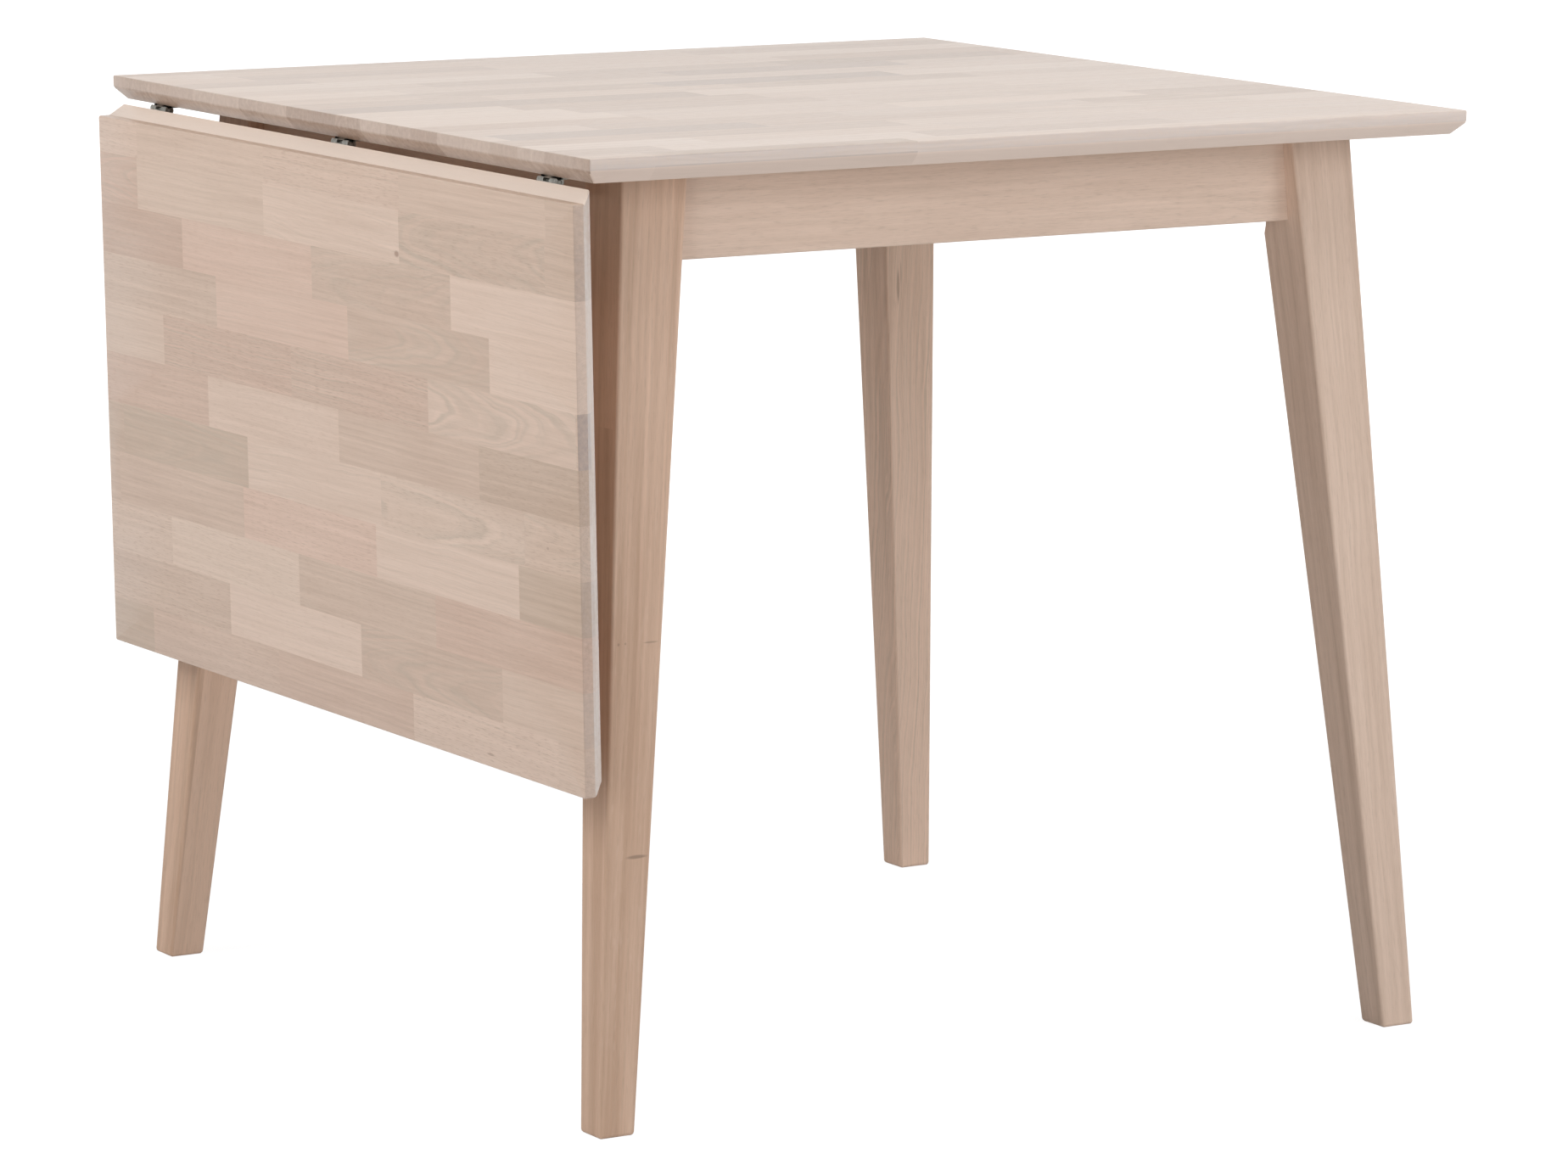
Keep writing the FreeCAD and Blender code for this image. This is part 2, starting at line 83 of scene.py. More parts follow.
Colour = tuple[float, float, float]
Span = tuple[float, float]
Setting = str | float | bool
Piece = bpy.types.Object
Material = bpy.types.Material
Socket = bpy.types.NodeSocket


class Value:
    """A number in a node sheet, on which Python's operators add Math nodes."""

    def __init__(self, sheet: "Sheet", socket: Socket) -> None:
        """Keeps the sheet and the socket that gives the number."""
        self.sheet = sheet
        self.socket = socket

    def __add__(self, other: "Number") -> "Value":
        """self + other."""
        return self.sheet.math("ADD", self, other)

    def __radd__(self, other: "Number") -> "Value":
        """other + self."""
        return self.sheet.math("ADD", other, self)

    def __sub__(self, other: "Number") -> "Value":
        """self - other."""
        return self.sheet.math("SUBTRACT", self, other)

    def __rsub__(self, other: "Number") -> "Value":
        """other - self."""
        return self.sheet.math("SUBTRACT", other, self)

    def __mul__(self, other: "Number") -> "Value":
        """self * other."""
        return self.sheet.math("MULTIPLY", self, other)

    def __rmul__(self, other: "Number") -> "Value":
        """other * self."""
        return self.sheet.math("MULTIPLY", other, self)

    def __truediv__(self, other: "Number") -> "Value":
        """self / other."""
        return self.sheet.math("DIVIDE", self, other)

    def __rtruediv__(self, other: "Number") -> "Value":
        """other / self."""
        return self.sheet.math("DIVIDE", other, self)

    def floor(self) -> "Value":
        """Whole part of the number."""
        return self.sheet.math("FLOOR", self)

    def root(self) -> "Value":
        """Square root of the number."""
        return self.sheet.math("SQRT", self)


Number = Value | float


class Sheet:
    """Node sheet of a material or of the surround."""

    def __init__(self, owner: Material | bpy.types.World) -> None:
        """Empties the owner's sheet.

        Args:
            owner: The material or the surround that the sheet belongs to.
        """
        owner.use_nodes = True
        self.owner = owner
        self.tree = owner.node_tree
        self.tree.nodes.clear()

    @classmethod
    def named(cls, name: str) -> "Sheet":
        """Sheet of a new material."""
        return cls(bpy.data.materials.new(name))

    def node(
        self,
        kind: str,
        settings: dict[str, Setting] | None = None,
        inputs: dict[str | int, object] | None = None,
    ) -> bpy.types.Node:
        """Adds a node.

        Args:
            kind: Blender's name of the node's type.
            settings: The node's own settings, set before its sockets.
            inputs: Values or links by socket name or number.

        Returns:
            The new node.
        """
        made = self.tree.nodes.new(kind)
        for name, setting in (settings or {}).items():
            setattr(made, name, setting)
        for key, given in (inputs or {}).items():
            self.feed(made.inputs[key], given)
        return made

    def feed(self, socket: Socket, given: object) -> None:
        """Links a socket to another, or sets its number or colour.

        Args:
            socket: The socket that takes the value.
            given: A Value, a socket, a number, a vector or a colour.
        """
        if isinstance(given, Value):
            given = given.socket
        if isinstance(given, Socket):
            self.tree.links.new(given, socket)
        elif socket.type == "RGBA" and len(given) == 3:
            socket.default_value = (*given, 1.0)
        else:
            socket.default_value = given

    def math(self, operation: str, *numbers: Number) -> Value:
        """Result of one Math node, by Blender's name of the operation."""
        made = self.node("ShaderNodeMath", {"operation": operation}, dict(enumerate(numbers)))
        return Value(self, made.outputs[0])

    def split(self, vector: Socket) -> tuple[Value, Value, Value]:
        """X, Y and Z of a vector."""
        made = self.node("ShaderNodeSeparateXYZ", None, {0: vector})
        return tuple(Value(self, made.outputs[i]) for i in range(3))

    def join(self, x: Number, y: Number, z: Number) -> Socket:
        """Vector of three numbers."""
        return self.node("ShaderNodeCombineXYZ", None, {0: x, 1: y, 2: z}).outputs[0]

    def place(self) -> tuple[Value, Value, Value]:
        """Object coordinates of the shaded point."""
        return self.split(self.node("ShaderNodeTexCoord").outputs["Object"])

    def attribute(self, name: str) -> tuple[Value, Value, Value]:
        """Parts of a vector that the mesh carries."""
        made = self.node("ShaderNodeAttribute", {"attribute_name": name})
        return self.split(made.outputs["Vector"])

    def noise(self, place: Socket | Value, detail: float = 2.0, roughness: float = 0.5) -> Value:
        """Smooth noise about nought, through space or along one line.

        Args:
            place: A vector, or a number on a line, already scaled to the size of the pattern.
            detail: Number of finer layers.
            roughness: Share of each finer layer.

        Returns:
            Noise from about -0.5 to 0.5.
        """
        on_line = isinstance(place, Value)
        settings = {"noise_dimensions": "1D" if on_line else "3D"}
        inputs = {"Scale": 1.0, "Detail": detail, "Roughness": roughness}
        inputs["W" if on_line else "Vector"] = place
        made = self.node("ShaderNodeTexNoise", settings, inputs)
        return Value(self, made.outputs[0]) - 0.5

    def draw(self, number: Number) -> tuple[Value, Value, Value]:
        """Three chance numbers from 0 to 1 that belong to a whole number."""
        made = self.node("ShaderNodeTexWhiteNoise", {"noise_dimensions": "1D"}, {"W": number})
        return self.split(made.outputs["Color"])

    def ease(self, number: Number, low: float, high: float) -> Value:
        """Smooth step from 0 at low to 1 at high."""
        return self.step(number, low, high, "SMOOTHSTEP")

    def reach(self, number: Number, low: float, high: float) -> Value:
        """Straight step from 0 at low to 1 at high."""
        return self.step(number, low, high, "LINEAR")

    def step(self, number: Number, low: float, high: float, way: str) -> Value:
        """Step from 0 to 1.

        Args:
            number: The number that the step follows.
            low: Where the step is 0.
            high: Where the step is 1.
            way: Blender's name of the way between them.

        Returns:
            The step, held from 0 to 1.
        """
        inputs = {"Value": number, "From Min": low, "From Max": high}
        made = self.node("ShaderNodeMapRange", {"interpolation_type": way}, inputs)
        return Value(self, made.outputs[0])

    def mix(self, share: Number, first: object, second: object, blend: str = "MIX") -> Socket:
        """Mix of two colours or their sockets, by the share of the second."""
        settings = {"data_type": "RGBA", "blend_type": blend, "clamp_factor": True}
        return self.node("ShaderNodeMix", settings, {0: share, 6: first, 7: second}).outputs[2]

    def bump(self, height: Value, depth: float, strength: float) -> Socket:
        """Normal of a relief from 0 to 1 that is so many metres deep, by the share that shows."""
        inputs = {"Height": height, "Distance": depth, "Strength": strength}
        return self.node("ShaderNodeBump", None, inputs).outputs[0]

    def seen_directly(self) -> Value:
        """Tells light that is seen from light that only falls on the table.

        Returns:
            1 for rays from the camera, from a gloss or through glass, and 0 for others.
        """
        path = self.node("ShaderNodeLightPath")
        seen = Value(self, path.outputs["Is Camera Ray"])
        for name in ("Is Glossy Ray", "Is Transmission Ray"):
            seen = self.math("MAXIMUM", seen, Value(self, path.outputs[name]))
        return seen

    def surface(self, inputs: dict[str | int, object]) -> Material:
        """Ends the sheet with a Principled shader.

        Args:
            inputs: The shader's sockets.

        Returns:
            The finished material.
        """
        shader = self.node("ShaderNodeBsdfPrincipled", None, inputs)
        self.node("ShaderNodeOutputMaterial", None, {"Surface": shader.outputs[0]})
        return self.owner


@dataclass
class Grain:
    """Where a point lies in its board, and what board that is."""

    along: Number
    across: Number
    deep: Number
    tone: Number = 0.0
    warmth: Number = 0.0
    # Share of white wash, partly a painted highlight on the leaf's near-end slope.
    rim: Number = 0.0
    # Share of end grain, deepened on end slopes as painted shade.
    end: Number = 0.0
    # Share of painted light: a paler colour that lights lower slopes and the leaf's hinge slope.
    painted_light: Number = 0.0
    heart_across: Number = 0.06
    heart_deep: Number = -0.03
    slant: Number = 0.01
    pitch: Number = 1.0
    seed: Number = 0.0
    figure: Number = 0.2
    vessels: Number = 0.35


@dataclass(frozen=True)
class GrainNoise:
    """Noise that follows a board's grain, with its scale to the metre in each direction."""

    along: float
    across: float
    deep: float
    detail: float = 2.0
    roughness: float = 0.5
    seed_shift: float = 0.0

    def at(self, sheet: Sheet, grain: Grain) -> Value:
        """Noise at a point of a board.

        Args:
            sheet: The material's sheet.
            grain: The point's place in its board.

        Returns:
            Noise from about -0.5 to 0.5.
        """
        along = grain.along * self.along
        if self.seed_shift > 0.0:
            along = along + grain.seed * self.seed_shift
        place = sheet.join(along, grain.across * self.across, grain.deep * self.deep)
        return sheet.noise(place, self.detail, self.roughness)


SLOW_WANDER = GrainNoise(7.0, 26.0, 26.0, detail=3.0, seed_shift=9.0)
QUICK_WANDER = GrainNoise(34.0, 110.0, 110.0, seed_shift=9.0)
VESSELS = GrainNoise(95.0, 1150.0, 1150.0, detail=1.0, seed_shift=5.0)
THREADS = GrainNoise(6.0, 290.0, 290.0, detail=4.0, roughness=0.65, seed_shift=13.0)
BLOTCHES = GrainNoise(9.0, 24.0, 24.0, seed_shift=13.0)
STRIPES = GrainNoise(1.1, 80.0, 80.0, detail=3.0, seed_shift=13.0)
RAY_FLECKS = GrainNoise(60.0, 220.0, 700.0, detail=1.0, seed_shift=13.0)
MOTTLE = GrainNoise(260.0, 260.0, 260.0, detail=3.0)
SMEAR = GrainNoise(14.0, 14.0, 300.0, detail=3.0)


@dataclass(frozen=True)
class Mark:
    """A pin knot or a short dark line in a board."""

    along: float
    across: float
    half_length: float
    half_width: float
    cover_share: float = 0.7
    fade: float = 0.6

    def cover(self, sheet: Sheet, grain: Grain) -> Value:
        """Share of the mark's dark colour at a point.

        Args:
            sheet: The material's sheet.
            grain: The point's place in its board.

        Returns:
            The share, nought outside the mark.
        """
        x = (grain.along - self.along) / self.half_length
        y = (grain.across - self.across) / self.half_width
        return sheet.ease(1.0 - (x * x + y * y).root(), 0.0, self.fade) * self.cover_share


@dataclass(frozen=True)
class OakFinish:
    """White-pigmented matt oak."""

    name: str
    pale: Colour = (0.800, 0.630, 0.525)
    fair: Colour = (0.690, 0.530, 0.430)
    deep: Colour = (0.565, 0.415, 0.322)
    rosy: Colour = (1.02, 0.97, 0.94)
    grey: Colour = (0.97, 1.00, 1.01)
    smoky: Colour = (0.470, 0.385, 0.300)
    pore: Colour = (0.330, 0.235, 0.175)
    # White wash; on the leaf it is also a painted highlight on the near-end slope.
    lime_and_highlight: Colour = (0.600, 0.530, 0.490)
    # End grain; on the top it is also warmed and darkened to paint bounce and shade on the end slopes.
    end_grain_and_bounce: Colour = (0.360, 0.295, 0.280)
    # Painted light: the paler colour laid on lower slopes and on the leaf's hinge slope.
    painted_light: Colour = (0.800, 0.660, 0.565)
    tone_span: float = 1.2
    ring_width: float = 0.0018
    ring_depth: float = 0.70
    ring_detail: float = 2.0
    ring_roughness: float = 0.6
    ring_seed: float = 57.0
    slow_sway: float = 0.014
    quick_sway: float = 0.0016
    line_edges: Span = (-0.22, 0.30)
    patch_edges: Span = (-0.30, 0.15)
    band_rings: float = 0.3
    band_depth: float = 1.2
    pore_depth: float = 0.50
    pore_edges: Span = (0.02, 0.20)
    pores_off_lines: float = 0.4
    streak_depth: float = 2.2
    blotch_depth: float = 1.0
    stripe_depth: float = 0.0
    ray_depth: float = 0.0
    ray_edges: Span = (0.10, 0.28)
    mottle_depth: float = 1.2
    smear_depth: float = 1.6
    roughness: float = 0.52
    pore_roughness: float = 0.12
    streak_roughness: float = 0.10
    gloss: float = 0.30
    relief: float = 0.00012
    relief_strength: float = 0.35
    line_relief: float = 0.4

    def rings(self, sheet: Sheet, grain: Grain) -> Value:
        """Growth rings counted from a heart that lies off the board, with a natural wander.

        Args:
            sheet: The material's sheet.
            grain: Place in the board.

        Returns:
            Number of rings between the heart and the point.
        """
        slow = SLOW_WANDER.at(sheet, grain) * self.slow_sway
        quick = QUICK_WANDER.at(sheet, grain) * self.quick_sway
        side = grain.across - grain.heart_across
        down = grain.deep - grain.heart_deep
        radius = (side * side + down * down).root() + grain.along * grain.slant + slow + quick
        return radius * (grain.pitch / self.ring_width) + grain.seed * self.ring_seed

    def board_colour(self, sheet: Sheet, grain: Grain, level: Value) -> Socket:
        """Colour of a board without its figure.

        Args:
            sheet: The material's sheet.
            grain: Place in the board.
            level: How light the wood is, about nought.

        Returns:
            The colour's socket.
        """
        colour = sheet.mix(sheet.reach(level, 0.0, self.tone_span), self.fair, self.pale)
        colour = sheet.mix(sheet.reach(level, 0.0, -self.tone_span), colour, self.deep)
        colour = sheet.mix(sheet.ease(grain.warmth, 0.0, 1.0), colour, self.rosy, "MULTIPLY")
        return sheet.mix(sheet.ease(grain.warmth * -1.0, 0.0, 1.0), colour, self.grey, "MULTIPLY")

    def edge_colour(self, sheet: Sheet, grain: Grain, colour: Socket) -> Socket:
        """Colour of an edge: painted light on its lower slopes, end grain deepened on end slopes as
        painted shade, and white wash that is partly a painted highlight.

        Args:
            sheet: The material's sheet.
            grain: Place in the board.
            colour: The board's colour.

        Returns:
            The colour's socket.
        """
        mottle = 1.0 + MOTTLE.at(sheet, grain) * self.mottle_depth
        smear = SMEAR.at(sheet, grain) * self.smear_depth
        # Painted light on the slopes.
        colour = sheet.mix(grain.painted_light, colour, self.painted_light)
        # End grain, deepened on end slopes as painted shade.
        colour = sheet.mix(grain.end * mottle, colour, self.end_grain_and_bounce)
        # White wash, partly a painted highlight.
        return sheet.mix(grain.rim * (mottle + smear), colour, self.lime_and_highlight)

    def build(self, grain_of: Callable[[Sheet], Grain], marks: tuple[Mark, ...] = ()) -> Material:
        """Makes the material.

        Args:
            grain_of: Gives the grain in the new sheet.
            marks: Pin knots and saw marks.

        Returns:
            The finished material.
        """
        sheet = Sheet.named(self.name)
        grain = grain_of(sheet)
        rings = self.rings(sheet, grain)
        lines = sheet.ease(sheet.noise(rings, self.ring_detail, self.ring_roughness), *self.line_edges)
        pores = sheet.ease(VESSELS.at(sheet, grain), *self.pore_edges)
        streak = THREADS.at(sheet, grain)
        blotch = BLOTCHES.at(sheet, grain)
        level = grain.tone + streak * self.streak_depth + blotch * self.blotch_depth
        level = level + sheet.noise(rings * self.band_rings, detail=1.0) * self.band_depth
        if self.stripe_depth > 0.0:
            level = level + STRIPES.at(sheet, grain) * self.stripe_depth
        colour = self.board_colour(sheet, grain, level)
        figure = lines * sheet.ease(blotch, *self.patch_edges) * grain.figure
        colour = sheet.mix(figure * self.ring_depth, colour, self.smoky)
        vessels = pores * (self.pores_off_lines + (1.0 - self.pores_off_lines) * lines) * grain.vessels
        colour = sheet.mix(vessels * self.pore_depth, colour, self.pore)
        if self.ray_depth > 0.0:
            rays = sheet.ease(RAY_FLECKS.at(sheet, grain), *self.ray_edges)
            colour = sheet.mix(rays * self.ray_depth, colour, self.pale)
        colour = self.edge_colour(sheet, grain, colour)
        for mark in marks:
            colour = sheet.mix(mark.cover(sheet, grain), colour, self.pore)
        height = 1.0 - (lines * self.line_relief + pores * (1.0 - self.line_relief))
        return sheet.surface({
            "Base Color": colour,
            "Roughness": self.roughness + pores * self.pore_roughness + streak * self.streak_roughness,
            "Specular IOR Level": self.gloss,
            "Normal": sheet.bump(height, self.relief, self.relief_strength),
        })


@dataclass(frozen=True)
class SteelFinish:
    """Plated steel, cloudy and faintly brushed."""

    name: str
    bright: Colour = (0.37, 0.36, 0.33)
    dull: Colour = (0.18, 0.175, 0.155)
    roughness: float = 0.40
    cloud_scale: float = 160.0
    cloud_edges: Span = (-0.2, 0.25)
    cloud_roughness: float = 0.25
    brush_scale: tuple[float, float, float] = (2600.0, 260.0, 2600.0)
    brush_roughness: float = 0.10
    relief: float = 0.00004
    relief_strength: float = 0.25

    def build(self) -> Material:
        """Makes the material.

        Returns:
            The finished material.
        """
        sheet = Sheet.named(self.name)
        place = sheet.place()
        clouds = sheet.join(*(axis * self.cloud_scale for axis in place))
        cloud = sheet.noise(clouds, detail=3.0, roughness=0.6)
        brushed = sheet.noise(sheet.join(*(axis * n for axis, n in zip(place, self.brush_scale))))
        return sheet.surface({
            "Base Color": sheet.mix(sheet.ease(cloud, *self.cloud_edges), self.dull, self.bright),
            "Metallic": 1.0,
            "Roughness": self.roughness + cloud * self.cloud_roughness + brushed * self.brush_roughness,
            "Normal": sheet.bump(brushed, self.relief, self.relief_strength),
        })


class Board(Enum):
    """Kinds of stave in the panels, as tone and warmth."""

    LIGHT = (0.85, -0.2)
    PALE = (0.40, 0.0)
    FAIR = (0.05, 0.0)
    DULL = (-0.40, 0.1)
    DARK = (-0.80, -0.5)
    RUSSET = (-0.95, 1.0)
    ROSY = (-0.45, 0.8)
    BLUSH = (0.20, 0.8)


class Cut(Enum):
    """How a stave was sawn: spans of its heart across and below it, slant, figure and ring pitch."""

    CROWN = ((-0.012, 0.012), (-0.026, -0.012), (0.04, 0.11), (0.75, 1.0), (0.35, 0.60))
    RIFT = ((0.04, 0.12), (-0.05, 0.02), (0.0, 0.03), (0.20, 0.50), (0.70, 1.20))


@dataclass(frozen=True)
class StaveLook:
    """Look of one stave, as the vectors that its faces carry."""

    tone: Vector
    heart: Vector
    seed: Vector
    end: float


@dataclass(frozen=True)
class StaveRow:
    """One row of a panel: its edges, the ends of its staves and their looks."""

    low: float
    high: float
    ends: list[float]
    looks: list[StaveLook]


@dataclass
class CutList:
    """How a panel is glued up from rows of staves."""

    seed: int
    row_width: float = 0.04175
    first_row: float = 0.0295
    stave_length: float = 0.2285
    shortest: float = 0.02
    contrast: float = 1.0
    tone_spread: float = 0.10
    warmth_spread: float = 0.3
    crown_share: float = 0.15
    least_vessels: float = 0.12
    vessel_spread: float = 0.5
    coarse_figure: float = 0.9
    coarse_vessels: float = 0.65
    end_shades: tuple[float, ...] = (0.05, 0.15, 0.30, 0.55, 0.80)
    joints: dict[int, float] = field(default_factory=dict)
    picked: dict[int, tuple[Board | None, ...]] = field(default_factory=dict)
    crowned: frozenset[tuple[int, int]] = frozenset()
    coarse: frozenset[tuple[int, int]] = frozenset()

    def rows(self, width: float) -> list[float]:
        """Edges of the rows across a panel.

        Args:
            width: The panel's width across the rows.

        Returns:
            Places from one edge of the panel to the other.
        """
        edges = [0.0]
        place = self.first_row
        while place < width - HAIR:
            edges.append(place)
            place += self.row_width
        return [*edges, width]

    def row_joints(self, row: int, length: float, chance: random.Random) -> list[float]:
        """Ends of the staves along one row.

        Args:
            row: The row's number.
            length: The panel's length along the grain.
            chance: Draws for rows whose joints aren't given.

        Returns:
            Places from one end of the panel to the other.
        """
        place = self.joints.get(row, chance.uniform(self.shortest, self.stave_length))
        ends = [0.0]
        while place < length - HAIR:
            ends.append(place)
            place += self.stave_length
        return [*ends, length]

    def board(self, row: int, place: int, drawn: Board) -> Board:
        """Board of one stave.

        Args:
            row: The stave's row.
            place: The stave's number in its row.
            drawn: The board for a stave that isn't picked.

        Returns:
            The picked board, or the drawn one.
        """
        picked = self.picked.get(row, ())
        if place < len(picked) and picked[place] is not None:
            return picked[place]
        return drawn

    def look(self, row: int, place: int, chance: random.Random) -> StaveLook:
        """Draws one stave's look.

        Args:
            row: The stave's row.
            place: The stave's number in its row.
            chance: Draws.

        Returns:
            The look.
        """
        drawn = chance.choice((Board.PALE, Board.FAIR, Board.FAIR, Board.DULL))
        tone, warmth = self.board(row, place, drawn).value
        tone = tone * self.contrast + chance.uniform(-self.tone_spread, self.tone_spread)
        warmth += chance.uniform(-self.warmth_spread, self.warmth_spread)
        way = chance.choice((-1.0, 1.0))
        crowned = chance.random() < self.crown_share or (row, place) in self.crowned
        cut = Cut.CROWN if crowned else Cut.RIFT
        heart_across, heart_deep, slant, figure, pitch = (chance.uniform(*span) for span in cut.value)
        if crowned:
            slant *= way
        else:
            heart_across *= way
        vessels = self.least_vessels + self.vessel_spread * chance.random() ** 2
        if (row, place) in self.coarse:
            figure, vessels = self.coarse_figure, self.coarse_vessels
        return StaveLook(
            tone=Vector((tone, warmth, pitch)),
            heart=Vector((heart_across, heart_deep, slant)),
            seed=Vector((chance.random(), figure, vessels)),
            end=chance.choice(self.end_shades),
        )


def unit(axis: int) -> Vector:
    """Direction of an axis, by its number."""
    return Vector([float(i == axis) for i in range(3)])


@contextmanager
def editing(piece: Piece) -> Iterator[None]:
    """Edit mode on one piece, with nothing else selected.

    Args:
        piece: The piece.
    """
    select_only(piece)
    bpy.ops.object.mode_set(mode="EDIT")
    yield
    bpy.ops.object.mode_set(mode="OBJECT")


def select_only(piece: Piece | None) -> None:
    """Deselects everything, then selects one piece and makes it active.

    Args:
        piece: The piece, or None to leave nothing selected.
    """
    bpy.ops.object.select_all(action="DESELECT")
    if piece is not None:
        piece.select_set(True)
        bpy.context.view_layer.objects.active = piece


def pick(mode: str, test: Callable[[object], bool]) -> None:
    """Selects what passes a test, in edit mode.

    Args:
        mode: VERT, EDGE or FACE.
        test: Takes a vertex, edge or face.
    """
    bpy.ops.mesh.select_mode(type=mode)
    bpy.ops.mesh.select_all(action="DESELECT")
    mesh = bpy.context.edit_object.data
    shape = bmesh.from_edit_mesh(mesh)
    elements = {"VERT": shape.verts, "EDGE": shape.edges, "FACE": shape.faces}[mode]
    for element in elements:
        if test(element):
            element.select_set(True)
    shape.select_flush_mode()
    bmesh.update_edit_mesh(mesh)


def faces_up(face: bmesh.types.BMFace) -> bool:
    """Whether a face looks along +Z."""
    return face.normal.z > SQUARE_ON


def faces_down(face: bmesh.types.BMFace) -> bool:
    """Whether a face looks along -Z."""
    return face.normal.z < -SQUARE_ON


def rise(edge: bmesh.types.BMEdge) -> float:
    """Height that an edge climbs."""
    return abs(edge.verts[0].co.z - edge.verts[1].co.z)


def both_ends(test: Callable[[Vector], bool]) -> Callable[[bmesh.types.BMEdge], bool]:
    """Test of an edge, passed where the places of both its ends pass a test."""
    return lambda edge: all(test(corner.co) for corner in edge.verts)


def ease_edges(test: Callable[[bmesh.types.BMEdge], bool], width: float, segments: int) -> None:
    """Rounds the edges that pass a test, in edit mode."""
    pick("EDGE", test)
    bpy.ops.mesh.bevel(offset=width, segments=segments, affect="EDGES")


def slice_at(place: Vector, normal: Vector) -> None:
    """Cuts the faces of a whole mesh along a plane, in edit mode."""
    bpy.ops.mesh.select_all(action="SELECT")
    bpy.ops.mesh.bisect(plane_co=place, plane_no=normal)


def turn_faces_out() -> None:
    """Makes every face of a mesh look outwards, in edit mode."""
    bpy.ops.mesh.select_all(action="SELECT")
    bpy.ops.mesh.normals_make_consistent(inside=False)


def move(step: Vector) -> None:
    """Moves what is picked."""
    bpy.ops.transform.translate(value=step)


def draw_out(step: Vector) -> None:
    """Extrudes the picked faces."""
    bpy.ops.mesh.extrude_region_move(TRANSFORM_OT_translate={"value": step})


def push(distance: float) -> None:
    """Extrudes the picked faces along Z."""
    draw_out(Vector((0.0, 0.0, distance)))


def narrow(share: float) -> None:
    """Scales what is picked about the Z axis."""
    bpy.ops.transform.resize(value=(share, share, 1.0), center_override=(0.0, 0.0, 0.0))


def apply_place(piece: Piece) -> None:
    """Moves a piece's place, turn and scale into its mesh."""
    select_only(piece)
    bpy.ops.object.transform_apply(location=True, rotation=True, scale=True)


def add_cube(size: float, middle: Vector) -> Piece:
    """Adds a cube, with nothing else selected.

    Args:
        size: Length of its sides.
        middle: The cube's middle.

    Returns:
        The piece.
    """
    select_only(None)
    bpy.ops.mesh.primitive_cube_add(size=size, location=middle)
    return bpy.context.object


def add_block(name: str, middle: Vector, size: Vector) -> Piece:
    """Adds a block.

    Args:
        name: The piece's name.
        middle: The block's middle.
        size: Its size along X, Y and Z.

    Returns:
        The piece, with its place in its mesh.
    """
    piece = add_cube(1.0, middle)
    piece.name = name
    piece.scale = size
    apply_place(piece)
    return piece


def add_round(name: str, radius: float, low: float, high: float, sides: int = 24) -> Piece:
    """Adds an upright cylinder.

    Args:
        name: The piece's name.
        radius: Radius to its corners.
        low: Height of its lower end.
        high: Height of its upper end.
        sides: Number of its sides.

    Returns:
        The piece, with its place in its mesh.
    """
    select_only(None)
    middle = (0.0, 0.0, (low + high) / 2)
    bpy.ops.mesh.primitive_cylinder_add(vertices=sides, radius=radius, depth=high - low, location=middle)
    piece = bpy.context.object
    piece.name = name
    apply_place(piece)
    return piece


def put_on(piece: Piece, material: Material) -> None:
    """Gives every material slot of a piece one material.

    Args:
        piece: The piece.
        material: The material.
    """
    if not piece.material_slots:
        piece.data.materials.append(material)
    for slot in piece.material_slots:
        slot.material = material


def discard(*models: Piece) -> None:
    """Removes models that are no longer needed."""
    for model in models:
        bpy.data.objects.remove(model, do_unlink=True)


def change_shape(piece: Piece, kind: str, settings: dict[str, object]) -> None:
    """Applies a modifier to a piece.

    Args:
        piece: The piece.
        kind: Blender's name of the modifier's type.
        settings: The modifier's settings.
    """
    select_only(piece)
    change = piece.modifiers.new(kind.lower(), kind)
    for name, setting in settings.items():
        setattr(change, name, setting)
    bpy.ops.object.modifier_apply(modifier=change.name)


def cut_away(piece: Piece, cutter: Piece) -> None:
    """Takes one piece's volume out of another and removes the cutter."""
    change_shape(piece, "BOOLEAN", {"operation": "DIFFERENCE", "solver": "EXACT", "object": cutter})
    discard(cutter)


def copy_at(model: Piece, name: str, place: Matrix) -> Piece:
    """Copies a model with its own mesh.

    Args:
        model: The model about the origin.
        name: The copy's name.
        place: Where the copy goes.

    Returns:
        The copy, with its place in its mesh.
    """
    copy = model.copy()
    copy.data = model.data.copy()
    copy.name = name
    bpy.context.collection.objects.link(copy)
    copy.matrix_world = place
    apply_place(copy)
    return copy


def round_shading(piece: Piece, degrees: float = ROUND_ANGLE) -> None:
    """Shades edges smooth where their faces turn by less than an angle."""
    select_only(piece)
    bpy.ops.object.shade_smooth_by_angle(angle=math.radians(degrees))


def even_shading(piece: Piece) -> None:
    """Shades rounded arrises smooth and keeps the flat faces flat."""
    round_shading(piece)
    change_shape(piece, "WEIGHTED_NORMAL", {"keep_sharp": True})


def carry(mesh: bpy.types.Mesh, name: str, domain: str, vectors: Sequence[Sequence[float]]) -> None:
    """Writes a vector to each face or point of a mesh, under a name that materials read."""
    layer = mesh.attributes.new(name, "FLOAT_VECTOR", domain)
    layer.data.foreach_set("vector", np.array(vectors, dtype=np.float32).ravel())


@dataclass(frozen=True)
class PackedPart:
    """CAD nodes of the part, with the material slot of each."""

    nodes: dict[str, Piece]
    slots: dict[str, str]

    def stand_in(self, piece: Piece, node: str, finish: Material) -> None:
        """Dresses a piece and shows it for a CAD node.

        Args:
            piece: The modelled piece.
            node: The CAD node's name.
            finish: The piece's material.
        """
        body = self.nodes[node]["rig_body"]
        put_on(piece, finish)
        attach(piece, body)
        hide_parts(node)
        LOG.info("%s: %d faces on %s", piece.name, len(piece.data.polygons), body)

    def dress(self, node: str, finish: Material) -> None:
        """Gives a CAD node its material."""
        put_on(self.nodes[node], finish)
        LOG.info("%s: %s", node, finish.name)


